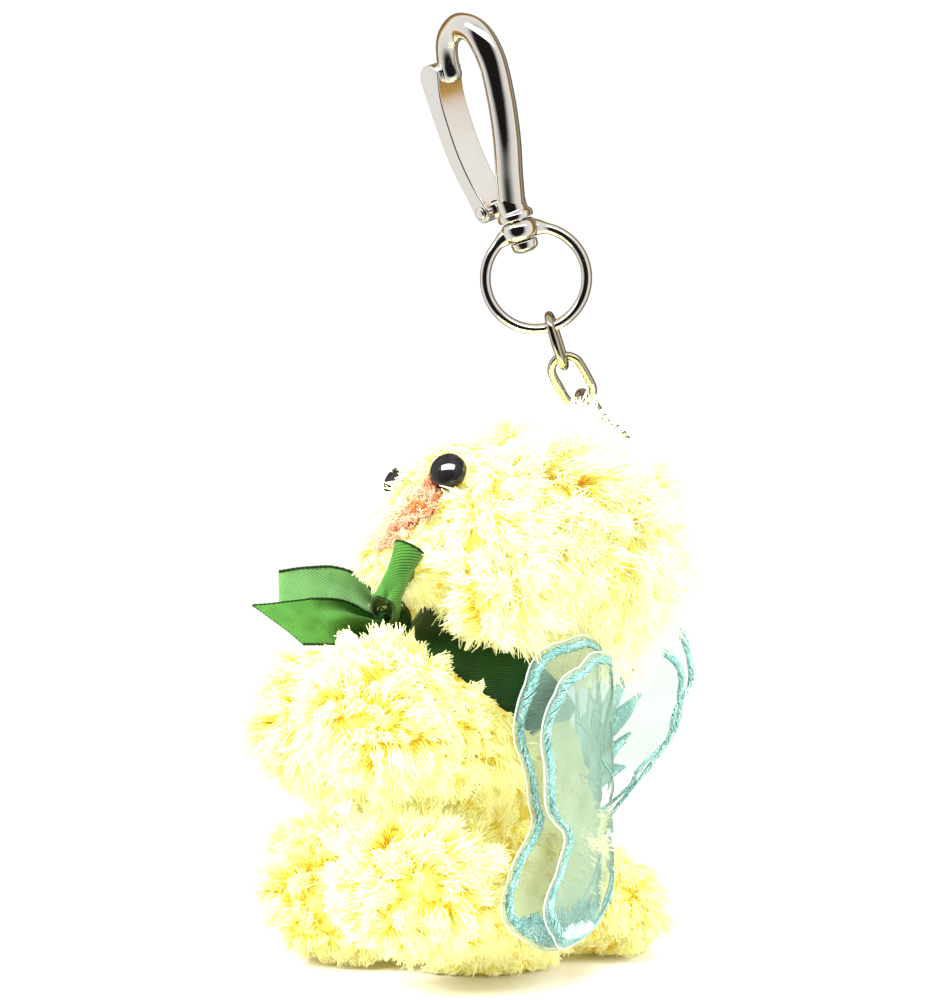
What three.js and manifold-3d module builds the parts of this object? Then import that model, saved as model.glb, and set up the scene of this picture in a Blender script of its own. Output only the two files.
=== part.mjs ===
// Plush keychain: a sitting, fluffy puppy with a neck bow and butterfly wings, hung on a short chain
// with a swivel ring and a spring-gate snap hook. Millimetres, +Z up. The plush faces -Y, its left
// side is +X, and it sits on z = 0.
import * as THREE from 'three';
import { mergeVertices } from 'three/addons/utils/BufferGeometryUtils.js';
import Module from 'manifold-3d';

const wasm = await Module();
wasm.setup();

// ---- driving dimensions ----
const GAP = 0.3;
const FABRIC = 1.6;
const COLLAR_WIDTH = 11;
const BOW_LOOP_WIDTH = 6;
const RIBBON_THICKNESS = 0.7;
const WING_THICKNESS = 0.6;
const WIRE_R = 0.9;
const LINK_HALF_LENGTH = 5.7;
const LINK_HALF_WIDTH = 3.4;
const RING_R = 10.85;
const RING_TUBE_R = 1.15;
const BAR_R = 3.1;
const RING_PLAY = 0.15;
const LINK_PLAY = 0.1;
const EYE_R = 4;

const v3 = (x, y, z) => new THREE.Vector3(x, y, z);
const degrees = THREE.MathUtils.degToRad;

// ---- places ----
const TORSO = { centre: v3(0, 7, 31), semi: v3(20, 21, 35) };
const NECK = { centre: v3(1, 5, 60), semi: v3(14, 13.5, 22) };
const SKULL = { centre: v3(0, 24.5, 89.3), semi: v3(22, 21, 20.6) };
const FACE_YAW = degrees(15);
const FACE = { centre: v3(4.7, -1.9, 94), semi: v3(14.5, 14, 15), yaw: FACE_YAW };
const CHEEKS = { centre: v3(5, 10, 90.5), semi: v3(16.5, 14, 17) };
const MUZZLE = { centre: v3(8, -14, 87), semi: v3(11, 9.5, 8), yaw: FACE_YAW };
const SWIVEL_LEAN = degrees(21.4);
const RING_CENTRE = v3(0, 18.5, 145.2);
const RING_YAW = degrees(-28);
const HOOK_YAW = degrees(12);
const LINK_LEANS = [20, 33, 40, 37].map(degrees);
const LINK_TURNS = [-54, 45, -38, 60].map(degrees);
const HOOK_BASE = 13.2;

const FABRIC_LOOK = { color: 0xfff6a8, roughness: 0.95, metalness: 0 };
const FILLING_LOOK = { color: 0xffffff, roughness: 1, metalness: 0 };
const SATIN_LOOK = { color: 0x3f8a3c, roughness: 0.45, metalness: 0 };
const WING_LOOK = { color: 0xa9dcd6, roughness: 0.5, metalness: 0 };
const METAL_LOOK = { color: 0xd8d8d4, roughness: 0.12, metalness: 1 };
const EYE_LOOK = { color: 0x08080a, roughness: 0.08, metalness: 0 };
const NOSE_LOOK = { color: 0xef7a50, roughness: 0.95, metalness: 0 };

const group = new THREE.Group();

// ---- closed solids ----
function toSolid(geometry) {
  const bare = geometry.clone();
  bare.deleteAttribute('normal');
  bare.deleteAttribute('uv');
  const merged = mergeVertices(bare, 1e-4);
  const vertProperties = new Float32Array(merged.attributes.position.array);
  const triVerts = new Uint32Array(merged.index.array);
  return new wasm.Manifold(new wasm.Mesh({ numProp: 3, vertProperties, triVerts }));
}

function addPart(name, shape, look) {
  let geometry = shape;
  if (!shape.isBufferGeometry) {
    const { vertProperties, triVerts } = shape.getMesh();
    geometry = new THREE.BufferGeometry();
    geometry.setAttribute('position', new THREE.BufferAttribute(vertProperties, 3));
    geometry.setIndex(new THREE.BufferAttribute(triVerts, 1));
  }
  const mesh = new THREE.Mesh(geometry, new THREE.MeshStandardMaterial(look));
  mesh.name = name;
  group.add(mesh);
}

// A closed skin over a row of rings that all have the same number of points.
function loft(rings, loop = false) {
  const sides = rings[0].length;
  const points = rings.flat();
  const index = [];
  const spans = loop ? rings.length : rings.length - 1;
  for (let i = 0; i < spans; i++) {
    const here = i * sides;
    const next = ((i + 1) % rings.length) * sides;
    for (let j = 0; j < sides; j++) {
      const k = (j + 1) % sides;
      index.push(here + j, here + k, next + k, here + j, next + k, next + j);
    }
  }
  if (!loop) {
    for (const [ring, flip] of [[0, true], [rings.length - 1, false]]) {
      const middle = points.length;
      points.push(rings[ring].reduce((sum, p) => sum.add(p), v3(0, 0, 0)).divideScalar(sides));
      for (let j = 0; j < sides; j++) {
        const a = ring * sides + j;
        const b = ring * sides + ((j + 1) % sides);
        index.push(...(flip ? [b, a, middle] : [a, b, middle]));
      }
    }
  }
  const geometry = new THREE.BufferGeometry();
  geometry.setAttribute('position', new THREE.Float32BufferAttribute(points.flatMap((p) => p.toArray()), 3));
  geometry.setIndex(index);
  if (signedVolume(geometry) < 0) {
    for (let i = 0; i < index.length; i += 3) {
      [index[i], index[i + 1]] = [index[i + 1], index[i]];
    }
    geometry.setIndex(index);
  }
  return geometry;
}

function signedVolume(geometry) {
  const at = geometry.attributes.position;
  const [a, b, c] = [v3(0, 0, 0), v3(0, 0, 0), v3(0, 0, 0)];
  let volume = 0;
  for (let i = 0; i < geometry.index.count; i += 3) {
    a.fromBufferAttribute(at, geometry.index.getX(i));
    b.fromBufferAttribute(at, geometry.index.getX(i + 1));
    c.fromBufferAttribute(at, geometry.index.getX(i + 2));
    volume += a.dot(b.cross(c)) / 6;
  }
  return volume;
}

// A ring of points round a centre, in the plane of two unit vectors.
function circle(centre, side, up, sideR, upR, count) {
  const points = [];
  for (let j = 0; j < count; j++) {
    const turn = (2 * Math.PI * j) / count;
    const offset = side.clone().multiplyScalar(sideR * Math.cos(turn));
    points.push(offset.addScaledVector(up, upR * Math.sin(turn)).add(centre));
  }
  return points;
}

function ellipsoid({ centre, semi, yaw = 0 }, grow = 0) {
  const ball = new THREE.SphereGeometry(1, 16, 8).rotateX(Math.PI / 2);
  ball.scale(semi.x + grow, semi.y + grow, semi.z + grow).rotateZ(yaw);
  return toSolid(ball.translate(centre.x, centre.y, centre.z));
}

// Two balls joined by a cone, along a line.
function capsule({ from, to, fromR, toR }, grow = 0) {
  const length = from.distanceTo(to);
  const [r0, r1] = [fromR + grow, toR + grow];
  const lean = Math.asin((r0 - r1) / length);
  const profile = [];
  const steps = 4;
  for (let i = 0; i <= steps; i++) {
    const turn = -Math.PI / 2 + ((lean + Math.PI / 2) * i) / steps;
    profile.push(new THREE.Vector2(i === 0 ? 0 : r0 * Math.cos(turn), r0 * Math.sin(turn)));
  }
  for (let i = 0; i <= steps; i++) {
    const turn = lean + ((Math.PI / 2 - lean) * i) / steps;
    profile.push(new THREE.Vector2(i === steps ? 0 : r1 * Math.cos(turn), length + r1 * Math.sin(turn)));
  }
  const body = new THREE.LatheGeometry(profile, 14);
  const aim = new THREE.Quaternion().setFromUnitVectors(v3(0, 1, 0), to.clone().sub(from).normalize());
  body.applyQuaternion(aim).translate(from.x, from.y, from.z);
  return toSolid(body);
}

// A straight turned piece: radius and height pairs from its foot, along a direction.
function turned(foot, direction, profile, sides = 20) {
  const points = profile.map(([radius, height]) => new THREE.Vector2(radius, height));
  const aim = new THREE.Quaternion().setFromUnitVectors(v3(0, 1, 0), direction);
  const body = new THREE.LatheGeometry(points, sides).applyQuaternion(aim);
  return toSolid(body.translate(foot.x, foot.y, foot.z));
}

function rod(foot, direction, radius, length, sides = 16) {
  return turned(foot, direction, [[0, 0], [radius, 0], [radius, length], [0, length]], sides);
}

// A thin sheet: a grid of points with a thickness along each row-by-row normal.
function sheet(grid, thickness) {
  const rows = grid.length;
  const columns = grid[0].length;
  const rings = grid.map((row, i) => {
    const before = grid[Math.max(i - 1, 0)];
    const after = grid[Math.min(i + 1, rows - 1)];
    const front = [];
    const back = [];
    for (let j = 0; j < columns; j++) {
      const along = after[j].clone().sub(before[j]);
      const across = row[Math.min(j + 1, columns - 1)].clone().sub(row[Math.max(j - 1, 0)]);
      const normal = along.cross(across).normalize().multiplyScalar(thickness / 2);
      front.push(row[j].clone().add(normal));
      back.unshift(row[j].clone().sub(normal));
    }
    return [...front, ...back];
  });
  return loft(rings);
}

const unite = (solids) => solids.reduce((sum, next) => sum.add(next));
const floorCut = toSolid(new THREE.BoxGeometry(200, 200, 40).translate(0, 0, -20));
const fillingFloor = floorCut.translate([0, 0, FABRIC + GAP]);

// A fabric shell: its outside, less a hollow that stops short of the flat base.
const hollow = (inside) => inside.subtract(floorCut.translate([0, 0, FABRIC]));

// ---- body and head: fabric skins over filling ----
const torsoShape = (grow) => unite([ellipsoid(TORSO, grow), ellipsoid(NECK, grow)]);
const skullShape = (grow) => unite([SKULL, CHEEKS, FACE].map((ball) => ellipsoid(ball, grow)));
const muzzleShape = (grow) => ellipsoid(MUZZLE, grow);

const faceForward = v3(Math.sin(FACE_YAW), -Math.cos(FACE_YAW), 0);
const faceSide = v3(Math.cos(FACE_YAW), Math.sin(FACE_YAW), 0);

// A point of the face: sideways, forwards and up from the face's centre.
const onFace = (side, forward, up) => FACE.centre.clone()
  .addScaledVector(faceSide, side).addScaledVector(faceForward, forward).add(v3(0, 0, up));

// Safety eyes: a dome with a stem through the skin, and a washer that grips it inside.
const EYES = [['left', 7.4, 9.2, 8.4], ['right', -7.4, 7.8, 6]].map(([side, across, forward, up]) => {
  const place = onFace(across, forward, up);
  const outward = faceForward.clone().multiplyScalar(0.78).addScaledVector(faceSide, across * 0.035);
  return { side, place, outward: outward.add(v3(0, 0, 0.56)).normalize() };
});
const eyeDome = [[0, -7], [0.9, -7], [0.9, 0.6], [3.2, 0.6], [EYE_R, 2], [3.7, 3.6], [2.6, 4.9], [1.2, 5.5], [0, 5.6]];
const eyeRoom = [[0, -8], [1.3, -8], [1.3, 0.3], [3.6, 0.3], [EYE_R + 0.4, 2], [4.1, 3.6], [3, 6.2], [0, 6.2]];
const washerRing = [[1.3, -4.6], [3.6, -4.6], [3.6, -3.8], [1.3, -3.8], [1.3, -4.6]];
const washerRoom = [[0, -5.4], [4.2, -5.4], [4.2, -3], [0, -3]];

const eyeRooms = unite(EYES.map(({ place, outward }) => turned(place, outward, eyeRoom, 12)));
const washerRooms = unite(EYES.map(({ place, outward }) => turned(place, outward, washerRoom, 10)));

// The tape loop that the last link hangs in is sewn into the back of the head.
const TAPE_FOOT = v3(0, 43.2, 101.6);
const headInward = SKULL.centre.clone().sub(TAPE_FOOT).normalize();
const TAPE_TAIL = { from: TAPE_FOOT, to: TAPE_FOOT.clone().addScaledVector(headInward, 6), fromR: 1.2, toR: 1.5 };

const torsoSkin = torsoShape(0).subtract(hollow(torsoShape(-FABRIC)));
addPart('torso_skin', torsoSkin.subtract(skullShape(-FABRIC)).subtract(floorCut), FABRIC_LOOK);
const torsoFill = torsoShape(-FABRIC - GAP).subtract(skullShape(-FABRIC));
addPart('torso_stuffing', torsoFill.subtract(fillingFloor), FILLING_LOOK);

const headCuts = unite([torsoShape(GAP), eyeRooms, washerRooms, capsule(TAPE_TAIL, GAP)]);
addPart('head_skin', skullShape(0).subtract(skullShape(-FABRIC)).subtract(headCuts), FABRIC_LOOK);
addPart('head_stuffing', skullShape(-FABRIC - GAP).subtract(headCuts), FILLING_LOOK);

for (const { side, place, outward } of EYES) {
  addPart(`eye_${side}`, turned(place, outward, eyeDome, 14), EYE_LOOK);
  addPart(`eye_washer_${side}`, turned(place, outward, washerRing, 12), FILLING_LOOK);
}

// The nose: a small embroidered knot between the eyes and the muzzle.
const NOSE = { centre: onFace(1.4, 13.6, -0.4), semi: v3(4.2, 2.6, 3.4), yaw: FACE_YAW };
addPart('nose', ellipsoid(NOSE).subtract(skullShape(GAP)).subtract(muzzleShape(GAP)), NOSE_LOOK);

addPart('muzzle', muzzleShape(0).subtract(skullShape(GAP)).subtract(torsoShape(GAP)), FABRIC_LOOK);

// ---- ears, arms, legs and tail ----
const EARS = {
  left: { top: v3(15.5, 2, 103.5), tip: v3(24.2, -5.4, 73), yaw: FACE_YAW },
  right: { top: v3(-8.5, -4.2, 102), tip: v3(-15, -5.5, 74), yaw: FACE_YAW },
};
const EAR_STEPS = 12;

// A flat, padded flap that is widest near its round tip.
function earShape({ top, tip, yaw }, grow = 0) {
  const rings = [];
  const along = tip.clone().sub(top);
  const reach = along.length() + 2 * grow;
  along.normalize();
  const wide = v3(Math.sin(yaw), -Math.cos(yaw), 0);
  const thick = new THREE.Vector3().crossVectors(along, wide).normalize();
  wide.crossVectors(thick, along);
  for (let i = 0; i <= EAR_STEPS; i++) {
    const t = i / EAR_STEPS;
    const round = Math.sqrt(Math.max(1 - (2 * t - 1) ** 2, 0.02));
    const centre = top.clone().addScaledVector(along, reach * t - grow);
    rings.push(circle(centre, wide, thick, (6.2 + 3.2 * t) * round + grow, 4.6 * round + grow, 16));
  }
  return toSolid(loft(rings));
}

const headOuter = skullShape(GAP).add(muzzleShape(GAP));
for (const side of ['left', 'right']) {
  addPart(`ear_${side}`, earShape(EARS[side]).subtract(headOuter), FABRIC_LOOK);
}

const LIMBS = {
  arm_left: { from: v3(13, -4, 50), to: v3(17, -26, 56), fromR: 9, toR: 11.6 },
  arm_right: { from: v3(-13.5, -3, 47), to: v3(-17.5, -21.4, 52), fromR: 10.5, toR: 12.8 },
  leg_left: { from: v3(10, -2, 17), to: v3(18.6, -21, 22), fromR: 11.4, toR: 11.8 },
  leg_right: { from: v3(-10, -2, 15), to: v3(-18.6, -20.5, 15.4), fromR: 12, toR: 12.8 },
  tail: { from: v3(0, 20, 15), to: v3(0, 36.5, 9.3), fromR: 8, toR: 9.3 },
};
const limbCuts = {
  leg_left: capsule(LIMBS.arm_left, GAP),
  leg_right: capsule(LIMBS.arm_right, GAP).add(capsule(LIMBS.leg_left, GAP)),
};
for (const [name, limb] of Object.entries(LIMBS)) {
  let cuts = torsoShape(GAP).add(floorCut);
  if (limbCuts[name]) {
    cuts = cuts.add(limbCuts[name]);
  }
  const shell = capsule(limb).subtract(hollow(capsule(limb, -FABRIC)));
  addPart(`${name}_skin`, shell.subtract(cuts), FABRIC_LOOK);
  const filling = capsule(limb, -FABRIC - GAP).subtract(fillingFloor);
  addPart(`${name}_stuffing`, filling.subtract(cuts), FILLING_LOOK);
}

// ---- ribbon collar and bow ----
const COLLAR = { centre: v3(0.5, 5, 59.5), along: 18.2, across: 17, tilt: degrees(37) };

// A point on the tilted collar, at an angle from the front, offset along the ribbon's width.
function onCollar(turn, outward, up) {
  const tilted = v3(
    (COLLAR.across + outward) * Math.sin(turn),
    -(COLLAR.along + outward) * Math.cos(turn),
    up,
  );
  return tilted.applyAxisAngle(v3(1, 0, 0), -COLLAR.tilt).add(COLLAR.centre);
}
const COLLAR_STEPS = 28;
const half = COLLAR_WIDTH / 2;
const collarRings = [];
for (let i = 0; i < COLLAR_STEPS; i++) {
  const turn = (2 * Math.PI * i) / COLLAR_STEPS;
  collarRings.push([
    onCollar(turn, 0, -half), onCollar(turn, RIBBON_THICKNESS, -half),
    onCollar(turn, RIBBON_THICKNESS, half), onCollar(turn, 0, half),
  ]);
}
const armsRoom = capsule(LIMBS.arm_left, GAP).add(capsule(LIMBS.arm_right, GAP));
const collarRoom = unite([torsoShape(GAP), skullShape(GAP), muzzleShape(GAP), armsRoom]);
const earRoom = earShape(EARS.left, GAP).add(earShape(EARS.right, GAP));
const collarSolid = toSolid(loft(collarRings, true)).subtract(collarRoom).subtract(earRoom);

const KNOT = v3(2.5, -16.4, 73.4);
const knotShape = (grow) => ellipsoid({ centre: KNOT, semi: v3(3.6, 3, 3.8), yaw: degrees(20) }, grow);
addPart('ribbon_collar', collarSolid.subtract(knotShape(GAP)), SATIN_LOOK);
addPart('bow_knot', knotShape(0).subtract(muzzleShape(GAP)), SATIN_LOOK);

// A ribbon strip along a curve, its width along a given direction.
function strip(points, widths, widthDirection, steps, thickness = RIBBON_THICKNESS) {
  const curve = new THREE.CatmullRomCurve3(points);
  const across = widthDirection.clone().normalize();
  const grid = [];
  for (let i = 0; i <= steps; i++) {
    const t = i / steps;
    const reach = THREE.MathUtils.lerp(widths[0], widths[1], t) / 2;
    const middle = curve.getPoint(t);
    grid.push([-reach, 0, reach].map((w) => middle.clone().addScaledVector(across, w)));
  }
  return toSolid(sheet(grid, thickness));
}

const BOW_LOOPS = {
  bow_loop_left: {
    points: [v3(5.5, -19.6, 75.2), v3(12, -24.4, 79.4), v3(18.2, -27.2, 83.6), v3(21.4, -25.2, 84.6),
      v3(19.8, -22.6, 82.2), v3(12.6, -19.8, 77.2), v3(6.4, -17.6, 73.6)],
    width: v3(0.35, 0.12, 0.93),
  },
  bow_loop_right: {
    points: [v3(-0.4, -19.4, 74.6), v3(-6, -22.4, 75.6), v3(-11, -22.8, 76.2), v3(-13, -20.8, 76),
      v3(-11, -18.6, 75.2), v3(-6, -17.8, 73.9), v3(-0.8, -16.6, 73)],
    width: v3(-0.2, 0.1, 0.97),
  },
};
const BOW_TAILS = {
  bow_tail_left: {
    points: [v3(2.6, -20.4, 72.8), v3(3.6, -28, 73.8), v3(4.8, -37, 73.4), v3(5.4, -45, 72.2)],
    width: v3(0.62, 0.1, 0.78),
    widths: [5, 8.5],
  },
  bow_tail_right: {
    points: [v3(0.2, -20.8, 76.2), v3(-1.6, -27, 79.4), v3(-4, -33, 80.6), v3(-6.4, -38.6, 80.4)],
    width: v3(0.1, -0.08, 0.99),
    widths: [5, 9],
  },
};
const bowRoom = unite([knotShape(GAP), headOuter, torsoShape(GAP), armsRoom]);
const BOW_STEPS = 12;
const ROOM_THICKNESS = RIBBON_THICKNESS + 2 * GAP;
let tailRoom = bowRoom;
for (const [name, { points, width }] of Object.entries(BOW_LOOPS)) {
  const loop = strip(points, [BOW_LOOP_WIDTH, BOW_LOOP_WIDTH], width, 20);
  const room = BOW_LOOP_WIDTH + 5 * GAP;
  tailRoom = tailRoom.add(strip(points, [room, room], width, BOW_STEPS, ROOM_THICKNESS));
  addPart(name, loop.subtract(bowRoom), SATIN_LOOK);
}
for (const [name, { points, width, widths }] of Object.entries(BOW_TAILS)) {
  addPart(name, strip(points, widths, width, BOW_STEPS).subtract(tailRoom), SATIN_LOOK);
  const room = widths.map((w) => w + 2 * GAP);
  tailRoom = tailRoom.add(strip(points, room, width, BOW_STEPS, ROOM_THICKNESS));
}

// ---- wings: two stacked layers on each side, sewn to the back ----
const WING_ROOT_Z = 31;
const WING_PATHS = {
  wing_large_left: [[2.2, 30.4], [12, 27.2], [21.6, 19.6], [28.6, 8], [31.6, -4.5], [32, -10]],
  wing_small_left: [[3.2, 32.6], [13, 29.6], [23.4, 21.6], [31, 11.4], [35.2, 1.6], [36.4, -3]],
  wing_large_right: [[-2.2, 30.4], [-11.5, 35.2], [-17.6, 44.6], [-22, 56], [-25.4, 67.5], [-27.8, 76.5],
    [-29, 81]],
  wing_small_right: [[-2.2, 33], [-10.4, 38.2], [-15.4, 47.2], [-19.4, 57.4], [-21.8, 66.4], [-23.4, 72.4]],
};
// The outline, as angle above the outward direction and reach: a tall upper and a short lower lobe.
const WING_OUTLINES = {
  wing_large_left: [[-66, 13], [-55, 19], [-44, 28], [-35, 39], [-27, 47.5], [-17, 53], [-7, 50.5],
    [3, 44.5], [12, 46], [22, 52], [32, 55.6], [42, 55], [52, 49.5], [61, 43.5], [70, 36.5], [79, 25],
    [87, 13]],
  wing_small_left: [[-66, 11], [-50, 17], [-38, 26], [-30, 42], [-25, 48.6], [-17, 50], [-7, 44.6],
    [0, 42.3], [8, 47.4], [21, 52], [31, 54.3], [37, 52.7], [45, 49], [52, 45.8], [62, 38], [75, 25],
    [87, 12]],
  wing_large_right: [[-66, 12], [-52, 18], [-38, 24], [-24, 24], [-12, 22], [-4, 28], [2, 34], [7, 37.6],
    [13, 48.6], [19.5, 54.3], [25, 62], [34.5, 64.4], [46, 60], [58, 50], [70, 37], [79, 25], [87, 12]],
  wing_small_right: [[-66, 11], [-50, 16], [-34, 19], [-18, 20], [-4, 24], [8, 33], [17, 44], [26, 51],
    [35, 53], [46, 49], [58, 41], [70, 31], [79, 22], [87, 12]],
};
const WING_STEPS = 28;
const WING_ROOT_SHARE = 0.08;
const SCALLOP_DEPTH = 0.8;
const SCALLOPS = 11;

function wingReach(outline, t) {
  const points = outline.map(([angle, reach]) => v3(angle, reach, 0));
  const point = new THREE.CatmullRomCurve3(points).getPoint(t);
  const scallop = SCALLOP_DEPTH * Math.abs(Math.sin(Math.PI * SCALLOPS * t));
  return [degrees(point.x), point.y + scallop];
}

function wingSheet(path, outline) {
  const curve = new THREE.CatmullRomCurve3(path.map(([x, y]) => v3(x, y, 0)));
  const length = curve.getLength();
  const grid = [];
  for (let i = 0; i <= WING_STEPS; i++) {
    const [angle, reach] = wingReach(outline, i / WING_STEPS);
    grid.push([WING_ROOT_SHARE, 0.5, 1].map((share) => {
      const out = Math.min(share * reach * Math.cos(angle) / length, 1);
      return curve.getPointAt(Math.max(out, 0)).setZ(WING_ROOT_Z + share * reach * Math.sin(angle));
    }));
  }
  return toSolid(sheet(grid, WING_THICKNESS));
}

for (const [name, path] of Object.entries(WING_PATHS)) {
  addPart(name, wingSheet(path, WING_OUTLINES[name]), WING_LOOK);
}
const WING_STITCH = { from: v3(0, 30.2, 27.5), to: v3(0, 30.2, 34.5), fromR: 1.2, toR: 1.2 };
addPart('wing_stitch', capsule(WING_STITCH).subtract(torsoShape(GAP)), WING_LOOK);

// ---- chain: four welded oval links and the tape loop in the head ----
const swivelAxis = v3(0, -Math.sin(SWIVEL_LEAN), Math.cos(SWIVEL_LEAN));

// A direction square to the swivel axis, nearest to a level one.
function squareToAxis(yaw) {
  const side = v3(Math.cos(yaw), Math.sin(yaw), 0);
  return side.addScaledVector(swivelAxis, -side.dot(swivelAxis)).normalize();
}

function linkGeometry(centre, down, normal) {
  const side = new THREE.Vector3().crossVectors(normal, down).normalize();
  const straight = LINK_HALF_LENGTH - LINK_HALF_WIDTH;
  const rings = [];
  const steps = 20;
  for (let i = 0; i < steps; i++) {
    const turn = (2 * Math.PI * (i + 0.5)) / steps;
    const outward = side.clone().multiplyScalar(Math.cos(turn)).addScaledVector(down, Math.sin(turn));
    const middle = centre.clone().addScaledVector(outward, LINK_HALF_WIDTH);
    middle.addScaledVector(down, Math.sign(Math.sin(turn)) * straight);
    rings.push(circle(middle, outward, normal, WIRE_R, WIRE_R, 6));
  }
  return loft(rings, true);
}

let wireCentre = RING_CENTRE.clone().addScaledVector(swivelAxis, -RING_R);
let overlap = RING_TUBE_R + WIRE_R + GAP + RING_PLAY;
let lastNormal = null;
let lastDown = null;
LINK_LEANS.forEach((lean, i) => {
  const down = v3(0, Math.sin(lean), -Math.cos(lean));
  const level = new THREE.Vector3().crossVectors(down, v3(1, 0, 0));
  const turn = LINK_TURNS[i];
  const normal = v3(Math.cos(turn), 0, 0).addScaledVector(level, Math.sin(turn)).normalize();
  const centre = wireCentre.clone().addScaledVector(down, LINK_HALF_LENGTH - overlap);
  addPart(`chain_link_${i + 1}`, linkGeometry(centre, down, normal), METAL_LOOK);
  lastNormal = normal;
  lastDown = down;
  wireCentre = centre.clone().addScaledVector(down, LINK_HALF_LENGTH);
  overlap = 2 * WIRE_R + GAP + LINK_PLAY;
});

const TAPE_R = 0.7;
const TAPE_LOOP_R = 2.3;
const tapeRings = [];
const tapeCentre = wireCentre.clone().addScaledVector(lastDown, TAPE_LOOP_R - WIRE_R - TAPE_R - GAP);
for (let i = 0; i < 16; i++) {
  const turn = (2 * Math.PI * i) / 16;
  const outward = lastNormal.clone().multiplyScalar(Math.sin(turn)).addScaledVector(lastDown, Math.cos(turn));
  const middle = tapeCentre.clone().addScaledVector(outward, TAPE_LOOP_R);
  const across = new THREE.Vector3().crossVectors(lastDown, lastNormal);
  tapeRings.push(circle(middle, outward, across, TAPE_R, TAPE_R, 6));
}
addPart('anchor_loop', toSolid(loft(tapeRings, true)).add(capsule(TAPE_TAIL)), FABRIC_LOOK);

// ---- swivel ring, with a bored boss for the post ----
const ringNormal = squareToAxis(RING_YAW);
const ringAcross = new THREE.Vector3().crossVectors(swivelAxis, ringNormal).normalize();
const ringRings = [];
for (let i = 0; i < 32; i++) {
  const turn = (2 * Math.PI * i) / 32;
  const outward = swivelAxis.clone().multiplyScalar(Math.cos(turn))
    .addScaledVector(ringAcross, Math.sin(turn));
  const middle = RING_CENTRE.clone().addScaledVector(outward, RING_R);
  ringRings.push(circle(middle, outward, ringNormal, RING_TUBE_R, RING_TUBE_R, 8));
}
const alongAxis = (height) => RING_CENTRE.clone().addScaledVector(swivelAxis, height);
const bossProfile = [[0, 8.7], [3.3, 8.7], [3.9, 9.5], [3.9, 12.1], [3.3, 12.85], [0, 12.85]];
const boss = turned(RING_CENTRE, swivelAxis, bossProfile);
const postBore = rod(alongAxis(6), swivelAxis, 1.9, 9.8);
addPart('swivel_ring', toSolid(loft(ringRings, true)).add(boss).subtract(postBore), METAL_LOOK);

const postProfile = [[0, 6], [1.6, 6], [2.7, 6.7], [2.9, 8.4], [1.6, 8.4], [1.6, 15.4], [0, 15.4]];
addPart('swivel_post', turned(RING_CENTRE, swivelAxis, postProfile), METAL_LOOK);

// ---- snap hook: the loop lies in the plane of hookSide and the swivel axis ----
const hookSide = squareToAxis(HOOK_YAW);
const hookNormal = new THREE.Vector3().crossVectors(hookSide, swivelAxis).normalize();
const onHook = (side, up, out = 0) => alongAxis(HOOK_BASE + up)
  .addScaledVector(hookSide, side).addScaledVector(hookNormal, out);

const HOOK_LINE = [[0, 3], [2.2, 9], [5.4, 17], [7.8, 26], [8.6, 34], [6.6, 39.6], [2, 41.8],
  [-2.6, 40], [-4.8, 35.6], [-5, 31]];
const hookCurve = new THREE.CatmullRomCurve3(HOOK_LINE.map(([side, up]) => v3(side, 0, up)));
const HOOK_STEPS = 24;
const hookRings = [];
for (let i = 0; i <= HOOK_STEPS; i++) {
  const t = i / HOOK_STEPS;
  const point = hookCurve.getPointAt(t);
  const slope = hookCurve.getTangentAt(t);
  const across = hookSide.clone().multiplyScalar(slope.z).addScaledVector(swivelAxis, -slope.x);
  const noseTaper = THREE.MathUtils.smoothstep(t, 0.58, 0.8);
  const depth = THREE.MathUtils.lerp(BAR_R, 2.2, noseTaper);
  const bulk = THREE.MathUtils.lerp(BAR_R, 2.7, noseTaper);
  hookRings.push(circle(onHook(point.x, point.z), across, hookNormal, bulk, depth, 12));
}
const collarProfile = [[0, 13.15], [3.8, 13.15], [3.8, 14.4], [3.1, 15.2], [3.4, 18], [0, 18]];
const PIN = [-6.2, 3.4];
const LUG_HALF = 1.1;

// A plate in the hook's plane from an outline, centred on the plane and of a given thickness.
function plate(outline, thickness) {
  const shape = new THREE.Shape(outline.map(([x, y]) => new THREE.Vector2(x, y)));
  const body = new THREE.ExtrudeGeometry(shape, { depth: thickness, bevelEnabled: false, curveSegments: 6 });
  body.translate(0, 0, -thickness / 2);
  const frame = new THREE.Matrix4().makeBasis(hookSide, swivelAxis, hookNormal);
  frame.setPosition(alongAxis(HOOK_BASE));
  return toSolid(body.applyMatrix4(frame));
}

// Outline points on an arc, in the hook's plane.
function arc([x, y], radius, from, to, steps) {
  return [...Array(steps + 1).keys()].map((i) => {
    const turn = degrees(from + ((to - from) * i) / steps);
    return [x + radius * Math.cos(turn), y + radius * Math.sin(turn)];
  });
}

const lug = plate([[0.5, 5.4], ...arc(PIN, 2.1, 90, 270, 8), [0.5, 1.6]], 2 * LUG_HALF);
const pinFoot = onHook(...PIN, -4.2);
const pinBore = rod(pinFoot, hookNormal, 1.05, 8.4);
const hookBody = unite([toSolid(loft(hookRings)), turned(RING_CENTRE, swivelAxis, collarProfile), lug]);
addPart('hook_body', hookBody.subtract(postBore).subtract(pinBore), METAL_LOOK);

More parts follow.
